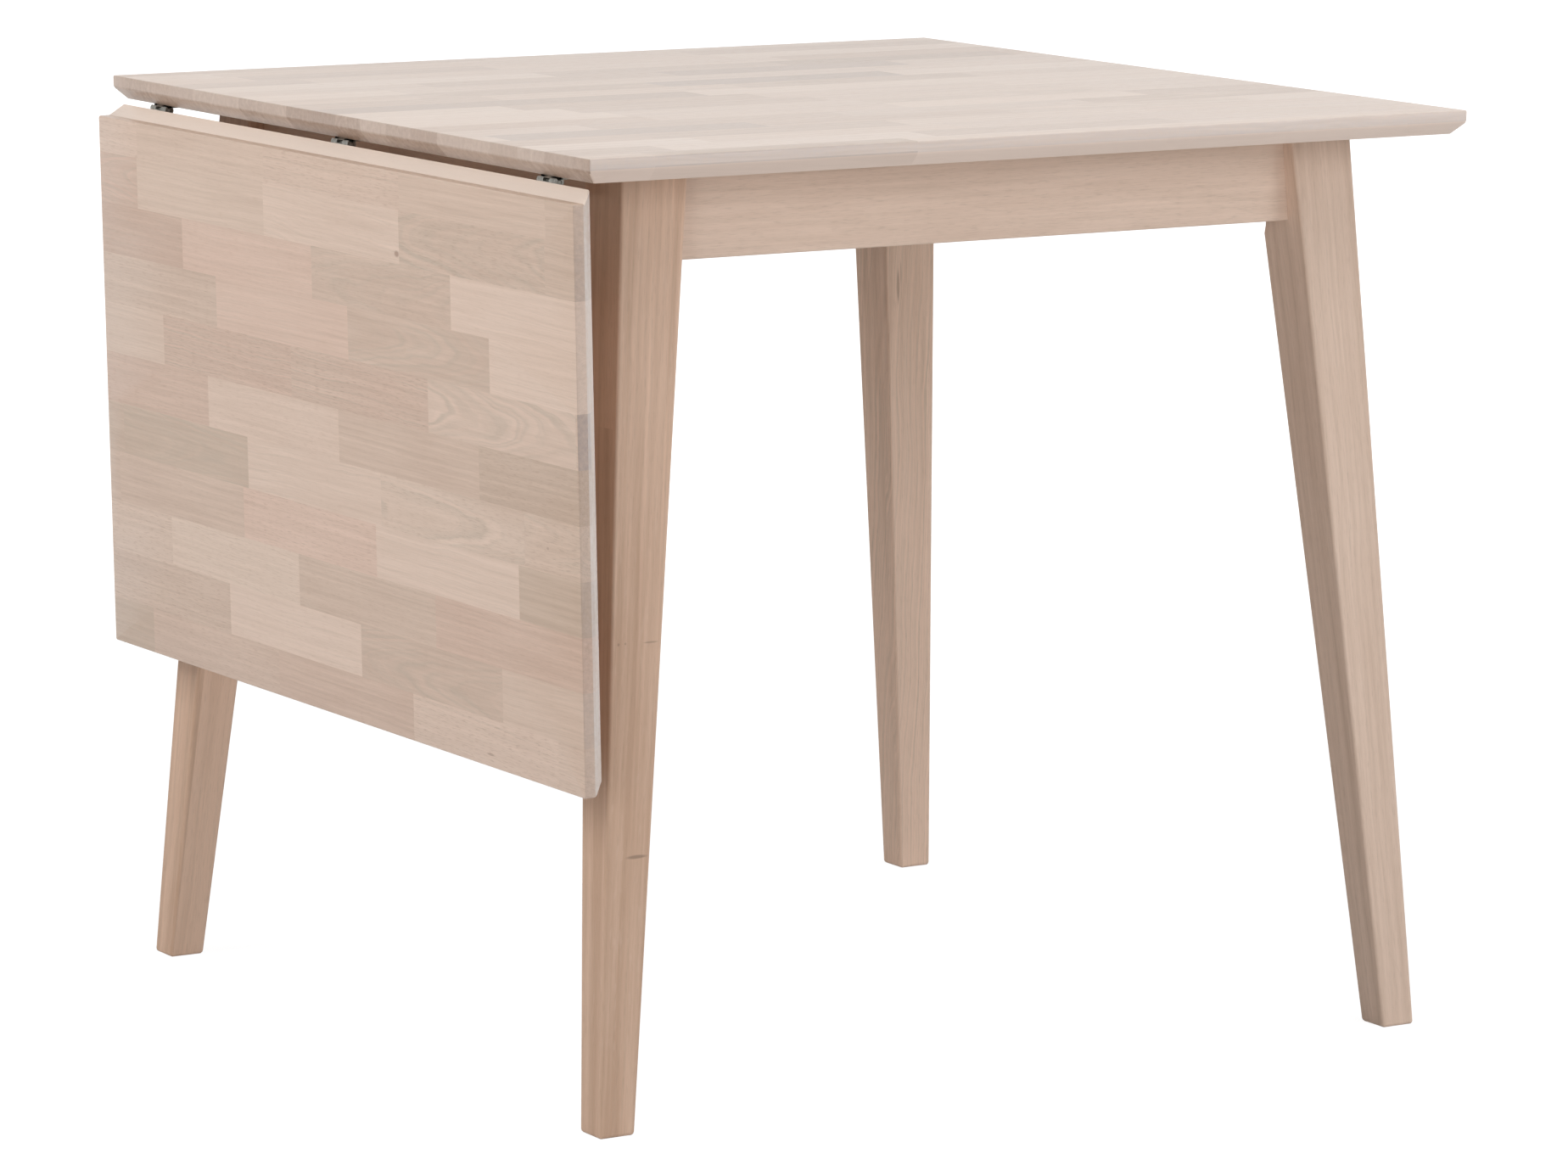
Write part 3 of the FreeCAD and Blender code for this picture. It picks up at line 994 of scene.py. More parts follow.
@dataclass
class StavePanel:
    """Flat panel of glued staves, with an upright band and a slope under each edge."""

    name: str
    node: str
    low: Vector
    high: Vector
    staves: CutList
    along_axis: int
    along_from_high: bool
    across_from_high: bool
    hinge_edge_out: bool = False
    band: float = 0.0095
    slope: float = 0.009
    ease: float = 0.0012
    line_ease: float = 0.0020
    corner_ease: float = 0.0016
    band_lime: float = 0.35
    end_band_lime: float = 0.0
    # Lime on end slopes, on the leaf partly a painted highlight.
    end_slope_lime_and_highlight: float = 0.0
    # Painted shade: end slopes take this much more end grain than the bands.
    end_slope_painted_shade: float = 1.3
    # Shares of painted light on lower slopes and on the leaf's hinge slope.
    slope_painted_light: float = 0.5
    hinge_painted_light: float = 0.0
    end_facing: float = 0.5
    slope_facing: float = -0.3
    round_angle: float = 30.0

    @property
    def across_axis(self) -> int:
        """Number of the axis across the rows."""
        return 1 - self.along_axis

    @property
    def length(self) -> float:
        """Length of the panel along its grain."""
        return self.high[self.along_axis] - self.low[self.along_axis]

    @property
    def width(self) -> float:
        """Width of the panel across its rows."""
        return self.high[self.across_axis] - self.low[self.across_axis]

    def distance(self, place: Vector, axis: int, from_high: bool) -> float:
        """Distance of a place along an axis, from the panel's higher or lower side."""
        return self.high[axis] - place[axis] if from_high else place[axis] - self.low[axis]

    def along(self, place: Vector) -> float:
        """Distance along the grain from the panel's first end."""
        return self.distance(place, self.along_axis, self.along_from_high)

    def across(self, place: Vector) -> float:
        """Distance across the rows from the panel's first edge."""
        return self.distance(place, self.across_axis, self.across_from_high)

    def point(self, along: float, across: float) -> Vector:
        """Point of the panel's upper face.

        Args:
            along: Distance along the grain.
            across: Distance across the rows.

        Returns:
            The point.
        """
        place = Vector((0.0, 0.0, self.high.z))
        a, b = self.along_axis, self.across_axis
        place[a] = self.high[a] - along if self.along_from_high else self.low[a] + along
        place[b] = self.high[b] - across if self.across_from_high else self.low[b] + across
        return place

    def build(self) -> Piece:
        """Models the panel level and cuts it into staves.

        Returns:
            The panel as one mesh that carries its staves' looks.
        """
        panel = add_block(self.name, (self.low + self.high) / 2, self.high - self.low)
        with editing(panel):
            self.shape_edges()
            rows = self.cut_staves(random.Random(self.staves.seed))
        self.mark_staves(panel.data, rows)
        return panel

    def shape_edges(self) -> None:
        """Cuts the band line, slopes the lower edges and eases the rim."""
        line = self.high.z - self.band
        slice_at(Vector((0.0, 0.0, line)), unit(2))
        floor = self.low.z + HAIR
        ceiling = self.high.z - HAIR
        for axis in (0, 1):
            step = unit(axis) * self.slope
            low, high = self.low[axis] + HAIR, self.high[axis] - HAIR
            pick("VERT", lambda v: v.co.z < floor and v.co[axis] < low)
            move(step)
            pick("VERT", lambda v: v.co.z < floor and v.co[axis] > high)
            move(step if self.hinge_edge_out and axis == 0 else -step)
        ease_edges(lambda e: rise(e) > HAIR, self.corner_ease, segments=3)
        inner = self.high.x - 2 * self.corner_ease if self.hinge_edge_out else math.inf
        on_line = both_ends(lambda place: abs(place.z - line) < HAIR)
        ease_edges(
            lambda e: on_line(e) and min(v.co.x for v in e.verts) < inner, self.line_ease, segments=3
        )
        ease_edges(both_ends(lambda place: place.z > ceiling), self.ease, segments=3)

    def cut_staves(self, chance: random.Random) -> list[StaveRow]:
        """Cuts the panel along its rows and across them at the joints.

        Args:
            chance: Draws of joints and boards.

        Returns:
            The rows.
        """
        edges = self.staves.rows(self.width)
        for edge in edges[1:-1]:
            slice_at(self.point(0.0, edge), unit(self.across_axis))
        rows = []
        for row, (low, high) in enumerate(zip(edges, edges[1:])):
            ends = self.staves.row_joints(row, self.length, chance)
            first = -math.inf if row == 0 else low
            for joint in ends[1:-1]:
                pick("FACE", lambda f: first < self.across(f.calc_center_median()) < high)
                bpy.ops.mesh.bisect(plane_co=self.point(joint, 0.0), plane_no=unit(self.along_axis))
            looks = [self.staves.look(row, place, chance) for place in range(len(ends) - 1)]
            rows.append(StaveRow(low, high, ends, looks))
        return rows

    def mark_staves(self, mesh: bpy.types.Mesh, rows: list[StaveRow]) -> None:
        """Writes each face's board and each point's place in the grain to the mesh.

        Args:
            mesh: The cut panel's mesh.
            rows: The panel's rows.
        """
        looks = []
        for face in mesh.polygons:
            across = min(max(self.across(face.center), HAIR), self.width - HAIR)
            along = min(max(self.along(face.center), HAIR), self.length - HAIR)
            row = next(row for row in rows if across < row.high)
            look = next(look for end, look in zip(row.ends[1:], row.looks) if along < end)
            middle = unit(0) * ((row.low + row.high) / 2)
            looks.append((look.tone, middle + look.heart, look.seed, self.edge_look(face, look.end)))
        names = ("board_tone", "board_heart", "board_seed", "board_edge")
        for name, vectors in zip(names, zip(*looks)):
            carry(mesh, name, "FACE", vectors)
        places = [(self.along(v.co), self.across(v.co), v.co.z - self.high.z) for v in mesh.vertices]
        carry(mesh, "grain", "POINT", places)

    def edge_look(self, face: bpy.types.MeshPolygon, end_shade: float) -> Vector:
        """How an edge differs from the panel's flat faces.

        Args:
            face: The face.
            end_shade: The stave's own end grain.

        Returns:
            Shares of white wash (partly a painted highlight on end slopes), end grain (deepened on end
            slopes as painted shade) and painted light on slopes, nought on the panel's flat faces.
        """
        if abs(face.normal.z) > SQUARE_ON:
            return Vector((0.0, 0.0, 0.0))
        # The leaf's hinge slope gets painted light.
        if self.across(face.center) < -HAIR:
            return Vector((0.0, 0.0, self.hinge_painted_light))
        sloped = face.normal.z < self.slope_facing
        if abs(face.normal[self.along_axis]) > self.end_facing:
            # End slopes: lime that is partly a painted highlight, and end grain deepened as painted
            # shade.
            if sloped:
                return Vector((self.end_slope_lime_and_highlight, end_shade * self.end_slope_painted_shade, 0.0))
            return Vector((self.end_band_lime, end_shade, 0.0))
        # Lower slopes along the grain get painted light.
        if sloped:
            return Vector((0.0, 0.0, self.slope_painted_light))
        return Vector((self.band_lime, 0.0, 0.0))

    def dress(
        self, panel: Piece, part: PackedPart, finish: OakFinish, marks: tuple[Mark, ...] = ()
    ) -> None:
        """Gives the panel its finish and its place in the part."""
        round_shading(panel, self.round_angle)
        part.stand_in(panel, self.node, finish.build(stave_grain, marks))


def stave_grain(sheet: Sheet) -> Grain:
    """Grain that a panel's mesh carries.

    Args:
        sheet: The material's sheet.

    Returns:
        The grain at the shaded point.
    """
    along, across, deep = sheet.attribute("grain")
    tone, warmth, pitch = sheet.attribute("board_tone")
    # Shares of white wash (partly a painted highlight), end grain (partly painted shade) and painted
    # light.
    rim, end, painted_light = sheet.attribute("board_edge")
    heart_across, heart_deep, slant = sheet.attribute("board_heart")
    seed, figure, vessels = sheet.attribute("board_seed")
    return Grain(
        along, across, deep, tone, warmth, rim, end, painted_light,
        heart_across, heart_deep, slant, pitch, seed, figure, vessels,
    )


@dataclass
class Tabletop:
    """Fixed top and hanging leaf."""

    part: PackedPart
    hinge: Vector
    hang_angle: float
    leaf_reach: float = 0.443
    leaf_gap: float = 0.0006
    roughness: float = 0.31
    gloss: float = 0.5

    def build_top(self) -> None:
        """Models and dresses the fixed top, whose staves run across the hinge line."""
        low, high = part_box("top_panel")
        staves = CutList(
            seed=11,
            first_row=0.0236,
            contrast=1.6,
            end_shades=(0.36, 0.44, 0.52, 0.60, 0.72),
            joints={4: 0.088, 5: 0.1815, 7: 0.123, 9: 0.1115, 15: 0.0185},
            picked={
                4: (None, None, None, Board.DARK),
                5: (None, None, Board.DARK),
                7: (None, Board.DULL, Board.DARK),
                9: (Board.DARK, Board.DARK),
                15: (None, Board.DARK),
            },
        )
        top = StavePanel(
            "top_staves", "top_panel", low, high, staves,
            along_axis=0, along_from_high=False, across_from_high=True,
            # The slope share paints light on the top's lower slopes; the end band lime lifts the band
            # back against the painted bounce in the end grain colour.
            end_band_lime=0.09, slope_painted_light=0.65,
        )
        finish = OakFinish(
            "pale_oak_top",
            pale=(0.800, 0.668, 0.578),
            fair=(0.705, 0.573, 0.489),
            deep=(0.585, 0.465, 0.389),
            # Painted shade and warm bounce on the top's end slopes, laid into its end grain colour.
            end_grain_and_bounce=(0.360, 0.247, 0.182),
            lime_and_highlight=(0.640, 0.590, 0.590),
            # Painted light colour for the top's lower slopes.
            painted_light=(0.830, 0.680, 0.595),
            grey=(0.96, 0.99, 1.04),
            ring_depth=0.45,
            pore_depth=0.30,
            roughness=self.roughness,
            gloss=self.gloss,
        )
        top.dress(top.build(), self.part, finish)

    def leaf_staves(self) -> CutList:
        """Cut list of the leaf, whose rows are numbered from the hinge line."""
        first_joints = (0.072, 0.070, 0.151, 0.210, 0.111, 0.190, 0.030, 0.020, 0.115, 0.219, 0.075)
        return CutList(
            seed=5,
            contrast=1.05,
            end_shades=(0.18, 0.23, 0.29, 0.37, 0.65),
            joints=dict(enumerate(first_joints)),
            picked={
                1: (Board.ROSY, None, Board.PALE, Board.DULL),
                2: (Board.RUSSET, Board.BLUSH, Board.DULL, Board.LIGHT),
                3: (Board.DULL, Board.BLUSH, Board.DULL, Board.LIGHT),
                4: (None, Board.ROSY, Board.ROSY, Board.PALE),
                5: (Board.ROSY, Board.PALE, Board.DULL, Board.DARK),
                6: (Board.DARK, Board.DARK, Board.PALE, Board.PALE, Board.FAIR),
                7: (None, Board.DULL, Board.BLUSH, Board.LIGHT, Board.DARK),
                8: (None, Board.LIGHT, Board.DULL, Board.ROSY),
                9: (Board.DULL, Board.LIGHT, Board.DULL, Board.FAIR),
                10: (Board.DARK, None, Board.ROSY, Board.PALE),
            },
            crowned=frozenset({(1, 3), (2, 2), (3, 2), (6, 1), (6, 3), (9, 2)}),
            coarse=frozenset({(4, 1), (4, 2)}),
        )

    def build_leaf(self) -> None:
        """Models the leaf level, its staves along the hinge line, and hangs it."""
        top_low, top_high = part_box("top_panel")
        inner = top_low.x - self.leaf_gap
        low = Vector((inner - self.leaf_reach, top_low.y, top_low.z))
        high = Vector((inner, top_high.y, top_high.z))
        leaf = StavePanel(
            "leaf_staves", "leaf_panel", low, high, self.leaf_staves(),
            along_axis=1, along_from_high=True, across_from_high=True,
            # The near-end slope's lime is partly a painted highlight; the hinge slope gets painted light.
            hinge_edge_out=True, band_lime=0.0, end_slope_lime_and_highlight=0.5, hinge_painted_light=0.85,
        )
        panel = leaf.build()
        swing = Matrix.Rotation(math.radians(-self.hang_angle), 4, "Y")
        panel.matrix_world = Matrix.Translation(self.hinge) @ swing @ Matrix.Translation(-self.hinge)
        apply_place(panel)
        knots = (
            Mark(0.523, 0.0635, 0.0050, 0.0032, 0.90),
            Mark(0.751, 0.2610, 0.0025, 0.0016, 0.5),
            Mark(0.655, 0.4330, 0.0075, 0.0014, 0.6),
        )
        finish = OakFinish(
            "oak_leaf_staves",
            pale=(0.778, 0.608, 0.505),
            fair=(0.676, 0.516, 0.416),
            deep=(0.553, 0.404, 0.312),
            # Pale colour of the near-end slope: white wash and a painted highlight.
            lime_and_highlight=(0.77, 0.725, 0.69),
            # Painted light colour for the leaf's slopes and hinge slope.
            painted_light=(0.870, 0.745, 0.655),
            pore=(0.385, 0.250, 0.185),
            rosy=(1.015, 0.966, 0.963),
            grey=(0.970, 0.995, 0.982),
            ring_width=0.0013,
            ring_depth=0.62,
            band_depth=0.8,
            pore_depth=0.75,
            streak_depth=3.0,
            roughness=self.roughness,
            gloss=self.gloss,
        )
        leaf.dress(panel, self.part, finish, knots)


@dataclass(frozen=True)
class LegBlank:
    """The glued blank that one leg is cut from, with its knots and saw marks, a tone that changes with
    height (painted shade under the top on the back-right leg) and painted shade on one side.
    """

    corner: str
    side_x: int
    side_y: int
    tone: float
    warmth: float
    strip: float
    strip_shift: float
    seed: float
    # Tone change between the gradient heights; on the back-right leg it is painted shade under the top,
    # partly the wood's own darker upper part.
    fade: float = 0.0
    figure: float = 0.2
    slant: float = 0.006
    # Painted shade: tone added to the strips on the leg's -X side.
    painted_side_shade: float = 0.0
    stripes: float = 5.0
    rosy: Colour = (0.97, 0.88, 0.81)
    marks: tuple[Mark, ...] = ()


@dataclass(frozen=True)
class TaperedLeg:
    """Splayed leg of square section, its inner corner cut flat behind the aprons."""

    height: float = 0.72398
    foot_middle: float = 0.36475
    foot_width: float = 0.0305
    top_middle: float = 0.3055
    top_width: float = 0.0570
    arris: float = 0.0025
    foot_ease: float = 0.0030
    flat_distance: float = 0.4065
    runout_height: float = 0.654
    runout_radius: float = 0.054

    @property
    def splay(self) -> float:
        """Distance that the leg runs outwards for each metre down."""
        return (self.foot_middle - self.top_middle) / self.height

    def model(self) -> Piece:
        """Models the leg of the +X +Y corner, measured from the table's middle.

        Returns:
            The leg.
        """
        middle = Vector((self.foot_middle, self.foot_middle, self.foot_width / 2))
        leg = add_cube(self.foot_width, middle)
        apply_place(leg)
        lean = self.top_middle - self.foot_middle
        share = self.top_width / self.foot_width
        with editing(leg):
            pick("FACE", faces_up)
            move(Vector((lean, lean, self.height - self.foot_width)))
            head = (self.top_middle, self.top_middle, self.height)
            bpy.ops.transform.resize(value=(share, share, 1.0), center_override=head)
            ease_edges(lambda e: rise(e) > self.height / 2, self.arris, segments=4)
            ease_edges(both_ends(lambda place: place.z < HAIR), self.foot_ease, segments=3)
        cut_away(leg, self.flat_cutter())
        return leg

    def flat_cutter(self) -> Piece:
        """Models the cutter for the flat: a block across the corner, rounded where the flat runs out.

        Returns:
            The cutter.
        """
        radius = self.runout_radius
        step = (self.flat_distance - radius) / math.sqrt(2.0)
        cutter = add_cube(2 * radius, Vector((step, step, self.runout_height)))
        with editing(cutter):
            pick("FACE", faces_up)
            move(Vector((0.0, 0.0, radius)))
            ease_edges(both_ends(lambda place: place.x > 0.0 and place.z < 0.0), radius, segments=12)
        cutter.rotation_euler.z = math.pi / 4
        apply_place(cutter)
        return cutter


@dataclass
class Underframe:
    """Legs, aprons and corner blocks."""

    part: PackedPart
    middle_x: float
    shape: TaperedLeg = TaperedLeg()
    strip_seeds: float = 40.0
    strip_tone: float = 0.7
    strip_warmth: float = 0.8
    strip_heart: float = 0.3
    fade_heights: Span = (0.25, 0.55)
    first_apron_seed: float = 0.21
    apron_seed_step: float = 0.17
    blanks: tuple[LegBlank, ...] = (
        LegBlank(
            "front_left", -1, -1,
            # Lighter towards the top and darker towards the foot.
            tone=-0.50, warmth=0.9, strip=0.021, strip_shift=0.004, seed=0.31, fade=1.05,
            marks=(
                Mark(0.2112, 0.0070, 0.0018, 0.0115, 0.85),
                Mark(0.3720, 0.0120, 0.0010, 0.0080, 0.55),
                Mark(0.3723, -0.0159, 0.0016, 0.0014, 0.60),
                Mark(0.3725, -0.0100, 0.0012, 0.0012, 0.50),
            ),
        ),
        LegBlank(
            "front_right", 1, -1,
            tone=-0.10, warmth=0.1, strip=0.060, strip_shift=0.030, seed=0.57, stripes=2.2,
        ),
        LegBlank(
            "back_left", -1, 1,
            # The raised tone lightens the front; the side shade paints the -X side, which faces the leaf,
            # darker.
            tone=1.35, warmth=0.8, strip=0.040, strip_shift=0.0135, seed=0.12, painted_side_shade=-1.65,
        ),
        LegBlank(
            "back_right", 1, 1,
            # Darker towards the top: painted shade under the top, partly the wood's own darker upper
            # part.
            tone=1.05, warmth=1.1, strip=0.060, strip_shift=0.030, seed=0.83, fade=-1.2,
            figure=0.7, slant=0.05, rosy=(1.12, 1.04, 0.985),
            marks=(
                Mark(0.5360, -0.0128, 0.0200, 0.0018, 0.65),
                Mark(0.5480, -0.0100, 0.0140, 0.0010, 0.35),
            ),
        ),
    )

    def leg_grain(self, sheet: Sheet, blank: LegBlank) -> Grain:
        """Grain that follows a leg's splay, with the blank's strips side by side.

        Args:
            sheet: The material's sheet.
            blank: The leg's blank.

        Returns:
            The grain at the shaded point.
        """
        x, y, z = sheet.place()
        out = self.shape.foot_middle - z * self.shape.splay
        across = x - self.middle_x - out * float(blank.side_x)
        deep = y - out * float(blank.side_y)
        strip = ((across + blank.strip_shift) / blank.strip).floor() + blank.seed * self.strip_seeds
        first, second, third = sheet.draw(strip)
        # Painted shade on the leg's -X side.
        side = sheet.math("LESS_THAN", across, -blank.strip_shift) * blank.painted_side_shade
        # Tone change with height; on the back-right leg it is painted shade under the top.
        fade = sheet.ease(z, *self.fade_heights) * blank.fade
        return Grain(
            z, across, deep,
            tone=blank.tone + side + (first - 0.5) * self.strip_tone + fade,
            warmth=blank.warmth + (second - 0.5) * self.strip_warmth,
            heart_across=(third - 0.5) * self.strip_heart,
            heart_deep=-0.05,
            slant=blank.slant,
            seed=first,
            figure=blank.figure,
        )

    def apron_grain(self, sheet: Sheet, along_x: bool, seed: float) -> Grain:
        """Grain along an apron or a corner block.

        Args:
            sheet: The material's sheet.
            along_x: Whether the board runs along X.
            seed: The board's own number.

        Returns:
            The grain at the shaded point.
        """
        x, y, z = sheet.place()
        along, deep = (x, y) if along_x else (y, x)
        return Grain(
            along, z, deep,
            tone=0.65, warmth=0.2, heart_across=0.60, heart_deep=0.0, slant=0.012, seed=seed, vessels=0.4,
        )

    def build_legs(self) -> None:
        """Models one leg, sets a copy in each corner and dresses it from its own blank."""
        model = self.shape.model()
        for blank in self.blanks:
            finish = OakFinish(
                "oak_leg_" + blank.corner,
                ray_depth=0.12,
                rosy=blank.rosy,
                stripe_depth=blank.stripes,
                gloss=0.20,
            )
            material = finish.build(lambda sheet: self.leg_grain(sheet, blank), blank.marks)
            quarter = Matrix.Rotation(math.atan2(blank.side_y, blank.side_x) - math.pi / 4, 4, "Z")
            place = Matrix.Translation((self.middle_x, 0.0, 0.0)) @ quarter
            leg = copy_at(model, blank.corner + "_tapered_leg", place)
            even_shading(leg)
            self.part.stand_in(leg, "leg_" + blank.corner, material)
        discard(model)

    def dress(self) -> None:
        """Finishes the aprons and corner blocks."""
        for number, side in enumerate(("front", "back", "left", "right")):
            finish = OakFinish(
                "oak_apron_" + side, pale=(0.84, 0.668, 0.560), fair=(0.725, 0.562, 0.460), gloss=0.20
            )
            along_x = side in ("front", "back")
            seed = self.first_apron_seed + self.apron_seed_step * number
            material = finish.build(lambda sheet: self.apron_grain(sheet, along_x, seed))
            self.part.dress("apron_" + side, material)
        for blank in self.blanks:
            finish = OakFinish("bare_block_" + blank.corner, roughness=0.7)
            material = finish.build(lambda sheet: self.apron_grain(sheet, False, blank.seed))
            self.part.dress("corner_block_" + blank.corner, material)


def solids(node: Piece) -> list[np.ndarray]:
    """Corner points of each separate solid of a CAD node.

    Args:
        node: The node.

    Returns:
        One array of points for each solid, in the mesh's order.
    """
    shape = bmesh.new()
    shape.from_mesh(node.data)
    bmesh.ops.remove_doubles(shape, verts=shape.verts, dist=HAIR / 10)
    shape.verts.index_update()
    seen: set[int] = set()
    groups = []
    for first in shape.verts:
        if first.index in seen:
            continue
        seen.add(first.index)
        waiting = [first]
        group = []
        while waiting:
            corner = waiting.pop()
            group.append(tuple(corner.co))
            for edge in corner.link_edges:
                other = edge.other_vert(corner)
                if other.index not in seen:
                    seen.add(other.index)
                    waiting.append(other)
        groups.append(np.array(group))
    shape.free()
    return groups


def screw_seat(points: np.ndarray) -> Matrix:
    """Place of a screw: the middle of its head's face, with +Z out of the work.

    Args:
        points: Corners of the CAD screw, wide at its head.

    Returns:
        The seat.
    """
    middle = points.mean(axis=0)
    axis = np.linalg.svd(points - middle)[2][0]
    reach = (points - middle) @ axis
    off = np.linalg.norm(points - middle - np.outer(reach, axis), axis=1)
    if off[reach > 0].max() < off[reach < 0].max():
        axis, reach = -axis, -reach
    turn = unit(2).rotation_difference(Vector(axis))
    return Matrix.Translation(middle + axis * reach.max()) @ turn.to_matrix().to_4x4()


def middle_of(points: np.ndarray) -> Vector:
    """Middle of the box round some points."""
    return Vector((points.min(axis=0) + points.max(axis=0)) / 2)


def corner_seat(points: np.ndarray) -> Matrix:
    """Place of a leg fastener: its middle, with +Z out along the corner's diagonal.

    Args:
        points: Corners of the CAD fastener.

    Returns:
        The seat.
    """
    middle = middle_of(points)
    diagonal = unit(2).rotation_difference(Vector((1.0, 1.0, 0.0)))
    corner = Matrix.Rotation(math.atan2(middle.y, middle.x) - math.pi / 4, 4, "Z")
    quarter = round(corner.to_euler().z / QUARTER_TURN) * QUARTER_TURN
    return Matrix.Translation(middle) @ Matrix.Rotation(quarter, 4, "Z") @ diagonal.to_matrix().to_4x4()


def rivet_seat(points: np.ndarray) -> Matrix:
    """Place of a rivet: its middle, with +Z along Y."""
    return Matrix.Translation(middle_of(points)) @ Matrix.Rotation(-QUARTER_TURN, 4, "X")


@dataclass(frozen=True)
class WoodScrew:
    """Countersunk screw with a cross recess, its head's face at the origin and its end along -Z."""

    head_radius: float = 0.0033
    shank_radius: float = 0.0017
    head_height: float = 0.0016
    head_ease: float = 0.0003
    length: float = 0.014
    point_share: float = 0.3
    tip_share: float = 0.25
    slot_reach: float = 0.0019
    slot_width: float = 0.0007
    slot_depth: float = 0.0011
    slot_taper: float = 0.7

    def model(self) -> Piece:
        """Models one screw.

        Returns:
            The screw.
        """
        screw = add_round("wood_screw", self.head_radius, -self.head_height, 0.0)
        shank = self.length - self.head_height
        with editing(screw):
            pick("FACE", faces_down)
            narrow(self.shank_radius / self.head_radius)
            push(-(1.0 - self.point_share) * shank)
            push(-self.point_share * shank)
            narrow(self.tip_share)
            ease_edges(both_ends(lambda place: place.z > -HAIR), self.head_ease, segments=2)
        cut_away(screw, self.cross())
        return screw

    def cross(self) -> Piece:
        """Models the cutter for the recess: a small block with four arms.

        Returns:
            The cutter.
        """
        half = self.slot_width / 2
        outer = half - HAIR
        cross = add_cube(self.slot_width, Vector((0.0, 0.0, 0.0)))
        with editing(cross):
            for way in (unit(0), -unit(0), unit(1), -unit(1)):
                pick(
                    "FACE",
                    lambda f: f.normal.dot(way) > SQUARE_ON and f.calc_center_median().dot(way) > outer,
                )
                draw_out(way * (self.slot_reach - half))
            pick("VERT", lambda v: v.co.z < 0.0)
            move(Vector((0.0, 0.0, half - self.slot_depth)))
            narrow(self.slot_taper)
        return cross


@dataclass(frozen=True)
class DomedRivet:
    """Rivet with a domed head at each end, its middle at the origin and its axis along Z."""

    head_radius: float = 0.0046
    head_height: float = 0.0015
    shank_radius: float = 0.0025
    dome_share: float = 0.92

    def model(self, length: float) -> Piece:
        """Models half a rivet and mirrors it.

        Args:
            length: Length over both heads.

        Returns:
            The rivet.
        """
        under = length / 2 - self.head_height
        rivet = add_round("domed_rivet", self.head_radius, under, length / 2, sides=28)
        with editing(rivet):
            crown = both_ends(lambda place: place.z > length / 2 - HAIR)
            ease_edges(crown, self.head_height * self.dome_share, segments=5)
            pick("FACE", faces_down)
            bpy.ops.mesh.inset(thickness=self.head_radius - self.shank_radius)
            push(-under)
            bpy.ops.mesh.delete(type="FACE")
        change_shape(rivet, "MIRROR", {"use_axis": (False, False, True), "merge_threshold": HAIR / 2})
        with editing(rivet):
            turn_faces_out()
        return rivet


@dataclass(frozen=True)
class LegFastening:
    """Threaded bolt, washer and nut that draw a leg into its corner."""

    bolt_radius: float = 0.004
    bolt_length: float = 0.077
    tail: float = 0.013
    pitch: float = 0.00125
    thread_share: float = 0.6
    washer_radius: float = 0.009
    washer_height: float = 0.0016
    washer_ease: float = 0.0003
    nut_flats: float = 0.013
    nut_height: float = 0.0065
    nut_ease: float = 0.0009
    slack: float = 0.0005
    play: float = 0.00005

    def bolt(self) -> Piece:
        """Models the bolt, its threaded tail along -Z.

        Returns:
            The bolt.
        """
        half = self.bolt_length / 2
        bolt = add_round("leg_bolt", self.bolt_radius, self.tail - half, half)
        turns = int(self.tail / self.pitch)
        step = self.tail / (2 * turns)
        root = 1.0 - self.thread_share * self.pitch / self.bolt_radius
        with editing(bolt):
            pick("FACE", faces_down)
            for _ in range(turns):
                push(-step)
                narrow(root)
                push(-step)
                narrow(1.0 / root)
        return bolt

    def washer(self) -> Piece:
        """Models the washer.

        Returns:
            The washer.
        """
        half = self.washer_height / 2
        washer = add_round("leg_washer", self.washer_radius, -half, half, sides=36)
        with editing(washer):
            ease_edges(lambda e: rise(e) < HAIR, self.washer_ease, segments=2)
        cut_away(washer, add_round("bore", self.bolt_radius + self.slack, -2 * half, 2 * half, sides=36))
        return washer

    def nut(self) -> Piece:
        """Models the nut with its corners taken off.

        Returns:
            The nut.
        """
        half = self.nut_height / 2
        nut = add_round("leg_nut", self.nut_flats / math.sqrt(3.0), -half, half, sides=6)
        with editing(nut):
            bpy.ops.mesh.select_all(action="SELECT")
            bpy.ops.transform.rotate(value=math.pi / 6, orient_axis="Z", center_override=(0.0, 0.0, 0.0))
            bpy.ops.mesh.bevel(offset=self.nut_ease, segments=2, affect="VERTICES")
        cut_away(nut, add_round("bore", self.bolt_radius + self.play, -2 * half, 2 * half))
        return nut


